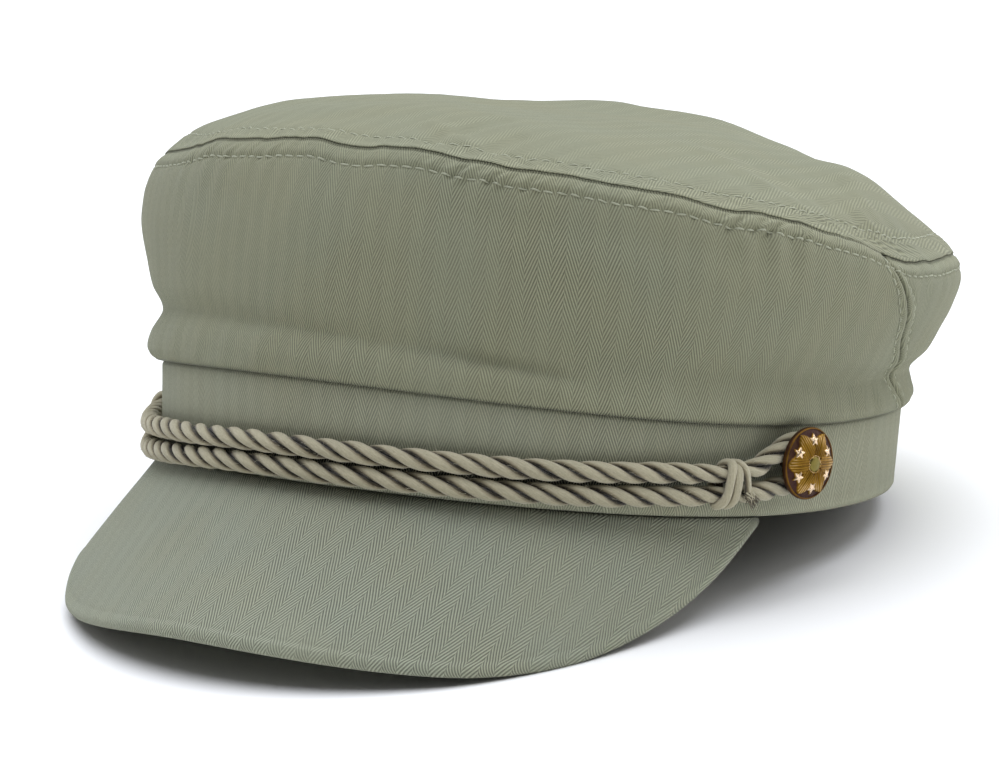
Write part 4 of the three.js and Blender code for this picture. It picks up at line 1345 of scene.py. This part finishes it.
def make_knot(side):
    """The strand wound round both runs of the cord, and its frayed end."""
    degrees = KNOT_LEFT_ANGLE if side > 0 else KNOT_RIGHT_ANGLE
    row = [r for r in CORD_ROUTE if r[0] == degrees][0]
    angle = math.radians(row[0])
    lower = BAND_HEIGHT * row[1]
    upper = BAND_HEIGHT * row[2]
    height = float(rim_height(np.array(angle))) + (lower + upper) / 2
    middle = band_point(np.array([angle]), np.array([height]), np.array([stand_off(row[3])]))[0]
    off = band_normal(np.array([angle]))[0]
    along = np.cross(UP, off) * side
    half = 0.9 * (upper - lower) / 2
    reach = CORD_RADIUS * (1 - KNOT_SQUEEZE) + KNOT_STRAND * 0.8
    paths = []

    def place(turn, shift, grow):
        spread = half * np.tanh(3.0 * np.sin(turn))
        return (middle + off * ((reach + grow) * np.cos(turn))[:, None]
                + UP * (spread + (reach + grow) * np.sin(turn))[:, None] + along * shift[:, None])

    t = np.linspace(0, 1, 110)
    turn = 2 * np.pi * (0.5 + 2.0 * t)
    shift = -2.7 + 4.4 * t + (1.7 - 1.3 * t) * np.sin(turn) * smooth(-0.9, 0.4, np.cos(turn))
    wave = 1 + 0.07 * np.sin(19 * t) + 0.05 * np.sin(43 * t)
    paths.append((place(turn, shift, 0 * t), KNOT_STRAND * wave, KNOT_HALF_WIDTH / KNOT_STRAND))
    # The free end comes over the top, crosses down the front and frays
    t = np.linspace(0, 1, 44)
    turn = np.pi * (0.45 - 0.54 * t)
    shift = 1.5 + 2.4 * t ** 1.3
    paths.append((place(turn, shift, 0.5 * np.sin(np.pi * t)), KNOT_STRAND * (1 - 0.25 * t), 1.35))
    end = paths[-1][0][-1]
    heading = normalized(paths[-1][0][-1] - paths[-1][0][-4])
    random = np.random.default_rng(7 + side)
    t = np.linspace(0, 1, 9)
    for _ in range(FRAY_COUNT):
        spray = normalized(heading + along * 0.8 + random.normal(0, 0.26, 3))
        droop = -UP * random.uniform(0.1, 0.8)
        size = random.uniform(2.2, 4.6)
        root = end - heading * 0.8 + random.normal(0, 0.55, 3)
        line = root + spray * (size * t)[:, None] + droop * (size * 0.3 * t ** 2)[:, None]
        curl = random.normal(0, 0.18, 3)
        line = line + curl * np.sin(5 * t)[:, None]
        paths.append((line, random.uniform(0.15, 0.30) * (1 - 0.6 * t), 1))
    return strand_mesh(paths, middle, "knot_left_strand" if side > 0 else "knot_right_strand")


knots = {1: make_knot(1), -1: make_knot(-1)}


# Buttons
BUTTON_COLUMNS = 224
# Columns: distance from the middle, height over the end of the shank
BUTTON_UNDERSIDE = [
    (BUTTON_RADIUS, 0.78),
    (BUTTON_RADIUS, 0.45),
    (BUTTON_RADIUS - 0.12, 0.18),
    (BUTTON_RADIUS - 0.5, 0.0),
    (BUTTON_RADIUS - 1.2, 0.12),
    (3.2, 0.5),
    (SHANK_RADIUS + 0.3, 0.35),
    (SHANK_RADIUS, 0.0),
]


def star_share(x, y, radius, points, inner, turn):
    """0 in the middle of a star, 1 on its outline and more outside it."""
    angle = np.arctan2(y, x) - turn
    sector = np.pi / points
    wrapped = np.abs((angle + sector) % (2 * sector) - sector)
    # Edge of the star at this angle: a line from its tip to its inner corner
    inner_x = inner * math.cos(sector)
    inner_y = inner * math.sin(sector)
    edge = radius * inner_y / (inner_y * np.cos(wrapped) + (radius - inner_x) * np.sin(wrapped))
    return np.hypot(x, y) / edge


def make_button(side):
    columns = BUTTON_COLUMNS
    ring_share = np.concatenate([np.linspace(0, 0.9, 58)[1:], np.linspace(0.9, 1, 12)[1:]])
    turn = 2 * np.pi * np.arange(columns) / columns
    radius = BUTTON_RADIUS * ring_share
    r, a = np.meshgrid(radius, turn, indexing="ij")
    shank_length = 2 * (CORD_RADIUS + GAP) + KNOT_STRAND
    dome = shank_length + BUTTON_RIM + BUTTON_DOME * (1 - (r / BUTTON_RADIUS) ** 2)
    x = r * np.cos(a)
    y = r * np.sin(a)
    share = r / BUTTON_RADIUS
    # Ribbed leaves from the boss outwards, with a small star between each pair
    sector = 2 * np.pi / BUTTON_LEAVES
    leaf_angle = (a + sector / 2) % sector - sector / 2
    leaf_width = 2.6 * np.sin(np.pi * np.clip((share - 0.2) / 0.72, 0, 1)) ** 0.7
    across = np.abs(leaf_angle * r) / np.maximum(leaf_width, 1e-3)
    leaf = (1 - smooth(0.78, 1.08, across)) * ((share > 0.2) & (share < 0.92))
    ribs = 0.5 + 0.5 * np.cos(2 * np.pi * (leaf_angle * r) / 0.62)
    vein = bell(leaf_angle * r / 0.16)
    relief = leaf * (0.46 + 0.14 * ribs + 0.16 * vein)
    gold = leaf * (0.34 + 0.36 * ribs * smooth(0.25, 0.8, share))
    for n in range(BUTTON_LEAVES):
        direction = sector * (n + 0.5)
        cx = BUTTON_RADIUS * 0.66 * math.cos(direction)
        cy = BUTTON_RADIUS * 0.66 * math.sin(direction)
        value = star_share(x - cx, y - cy, 1.62, 5, 0.74, direction)
        star = 1 - smooth(0.82, 1.05, value)
        relief = np.maximum(relief, star * (0.62 + 0.22 * (1 - np.clip(value, 0, 1))))
        gold = np.maximum(gold, star * 0.98)
    boss_edge = 1 - smooth(0.19, 0.225, share)
    collar = bell((share - 0.235) / 0.022)
    relief = np.maximum(relief, boss_edge * (0.5 + 0.2 * (1 - (share / 0.22) ** 2)))
    relief = np.maximum(relief, collar * 0.5)
    gold = np.maximum(gold, collar * 0.75)
    gold = np.maximum(gold, boss_edge * 0.45)
    rim = smooth(0.935, 0.955, share) * (1 - smooth(0.985, 1.0, share))
    relief = np.maximum(relief, rim * 0.30)
    gold = np.maximum(gold, rim * 0.30)
    pebble = 0.05 * noise(x / 0.35, y / 0.35, 55) * (1 - np.clip(relief * 3, 0, 1))
    height = dome + relief + pebble
    top = np.stack([x, y, height], -1)

    def circle(reach, level):
        return np.stack([reach * np.cos(turn), reach * np.sin(turn), 0 * turn + level], -1)

    under = [circle(reach, shank_length + level) for reach, level in BUTTON_UNDERSIDE]
    under += [circle(SHANK_RADIUS, shank_length / 2), circle(SHANK_RADIUS, GAP)]
    rows = np.concatenate([top, np.stack(under)])
    local = np.concatenate([rows.reshape(-1, 3), [[0, 0, dome.max() + 0.7], [0, 0, GAP]]])
    faces = [face[::-1] for face in grid_faces(len(rows), columns, True)]
    centre = len(rows) * columns
    last = (len(rows) - 1) * columns
    for j in range(columns):
        k = (j + 1) % columns
        faces.append([centre, j, k])
        faces.append([centre + 1, last + k, last + j])
    tone = np.concatenate([gold, np.full((len(under), columns), 0.08)]).ravel()
    tone = np.concatenate([tone, [0.45, 0.2]])
    patina = np.concatenate([boss_edge * 0.55, np.zeros((len(under), columns))]).ravel()
    patina = np.concatenate([patina, [0.55, 0.0]])
    angle = np.array([math.radians(side * BUTTON_ANGLE)])
    level = rim_height(angle) + BAND_HEIGHT * BUTTON_HEIGHT_SHARE
    origin = band_point(angle, level, np.zeros(1))[0]
    normal = band_normal(angle)[0]
    first = normalized(np.cross(UP, normal))
    second = np.cross(normal, first)
    points = origin + local[:, :1] * first + local[:, 1:2] * second + local[:, 2:] * normal
    name = "button_left_brass" if side > 0 else "button_right_brass"
    return add_mesh(name, points, faces, None, {"relief": tone, "patina": patina}, brass)


buttons = {1: make_button(1), -1: make_button(-1)}

pieces = [
    (tip, "crown_cloth", ["crown_tip"]),
    (front_panel, "crown_cloth", ["crown_front_panel"]),
    (back_panel, "crown_cloth", ["crown_back_panel"]),
    (topstitching, "crown_cloth", []),
    (band, "band_cloth", ["band"]),
    (visor, "visor_cloth", ["visor"]),
    (cord, "cord_cotton", ["cord"]),
    (knots[1], "cord_cotton", ["knot_left"]),
    (knots[-1], "cord_cotton", ["knot_right"]),
    (buttons[1], "brass", ["button_left"]),
    (buttons[-1], "brass", ["button_right"]),
]
for piece, slot, replaced in pieces:
    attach(piece, "root")
    if replaced:
        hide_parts(*replaced)


# Floor, light and camera, in metres
FLOOR_HALF_WIDTH = 40.0
LIGHT_AIM = (0.0, 0.0, 0.06)


def make_floor():
    material, n, shader = new_material("studio_floor")
    n.shade(shader, {"Base Color": (0.91, 0.905, 0.88, 1.0), "Roughness": 0.9, "Specular IOR Level": 0.0})
    mesh = bpy.data.meshes.new("studio_floor")
    half = FLOOR_HALF_WIDTH
    corners = [(-half, -half, 0), (half, -half, 0), (half, half, 0), (-half, half, 0)]
    mesh.from_pydata(corners, [], [(0, 1, 2, 3)])
    mesh.materials.append(material)
    floor = bpy.data.objects.new("studio_floor", mesh)
    bpy.context.scene.collection.objects.link(floor)


def add_area(name, place, size, power):
    light = bpy.data.lights.new(name, "AREA")
    light.shape = "RECTANGLE"
    light.size = size[0]
    light.size_y = size[1]
    light.energy = power
    lamp = bpy.data.objects.new(name, light)
    lamp.location = place
    lamp.rotation_euler = (Vector(LIGHT_AIM) - Vector(place)).to_track_quat("-Z", "Y").to_euler()
    bpy.context.scene.collection.objects.link(lamp)


make_floor()
world = bpy.data.worlds.new("studio_world")
world.use_nodes = True
world.node_tree.nodes["Background"].inputs[0].default_value = (0.97, 0.98, 1.0, 1.0)
world.node_tree.nodes["Background"].inputs[1].default_value = 0.18
bpy.context.scene.world = world
sky = bpy.data.lights.new("overhead_light", "SUN")
sky.energy = 3.9
sky.angle = math.radians(80)
sky.color = (0.95, 0.98, 1.07)
lamp = bpy.data.objects.new("overhead_light", sky)
lamp.rotation_euler = (math.radians(-6), math.radians(-4), 0)
bpy.context.scene.collection.objects.link(lamp)
add_area("left_softbox", (-1.17, -0.40, 0.50), (0.7, 0.8), 1.5)
add_area("right_softbox", (0.84, 0.91, 0.50), (0.7, 0.8), 5.0)

# Camera: the view fitted to the photo, turned with the cap to its rest on the floor
CAMERA_AZIMUTH = math.radians(33.04)
CAMERA_ELEVATION = math.radians(9.821)
CAMERA_DISTANCE = 850.0
CAMERA_LENS = 123.33
TARGET_HEIGHT = 35.0
AIM_RIGHT = 0.00988
AIM_UP = 0.01856
FIT_TURN = REST_PITCH - math.radians(5.459)


def fit_to_row(vector):
    x, y, z = vector
    cosine = math.cos(FIT_TURN)
    sine = math.sin(FIT_TURN)
    return np.array([x, y * cosine + z * sine, z * cosine - y * sine])


def add_camera():
    sin_a, cos_a = math.sin(CAMERA_AZIMUTH), math.cos(CAMERA_AZIMUTH)
    sin_e, cos_e = math.sin(CAMERA_ELEVATION), math.cos(CAMERA_ELEVATION)
    right = fit_to_row((cos_a, sin_a, 0.0))
    back = fit_to_row((sin_a * cos_e, -cos_a * cos_e, sin_e))
    up = np.cross(back, right)
    target = fit_to_row((0.0, 0.0, TARGET_HEIGHT)) + REST_SHIFT
    place = (target + CAMERA_DISTANCE * back) / 1000
    forward = normalized(-back - AIM_RIGHT * right - AIM_UP * up)
    side = normalized(np.cross(forward, up))
    top = np.cross(side, forward)
    camera = bpy.data.cameras.new("photo_camera")
    camera.lens = CAMERA_LENS
    camera.sensor_width = 36.0
    camera.sensor_fit = "HORIZONTAL"
    camera.clip_start = 0.01
    camera.clip_end = 50.0
    holder = bpy.data.objects.new("photo_camera", camera)
    turn = np.stack([side, top, -forward], 1)
    matrix = Matrix(turn.tolist()).to_4x4()
    matrix.translation = Vector(place.tolist())
    holder.matrix_world = matrix
    bpy.context.scene.collection.objects.link(holder)
    bpy.context.scene.camera = holder


add_camera()
bpy.context.scene.view_settings.view_transform = "Standard"

bpy.context.view_layer.update()
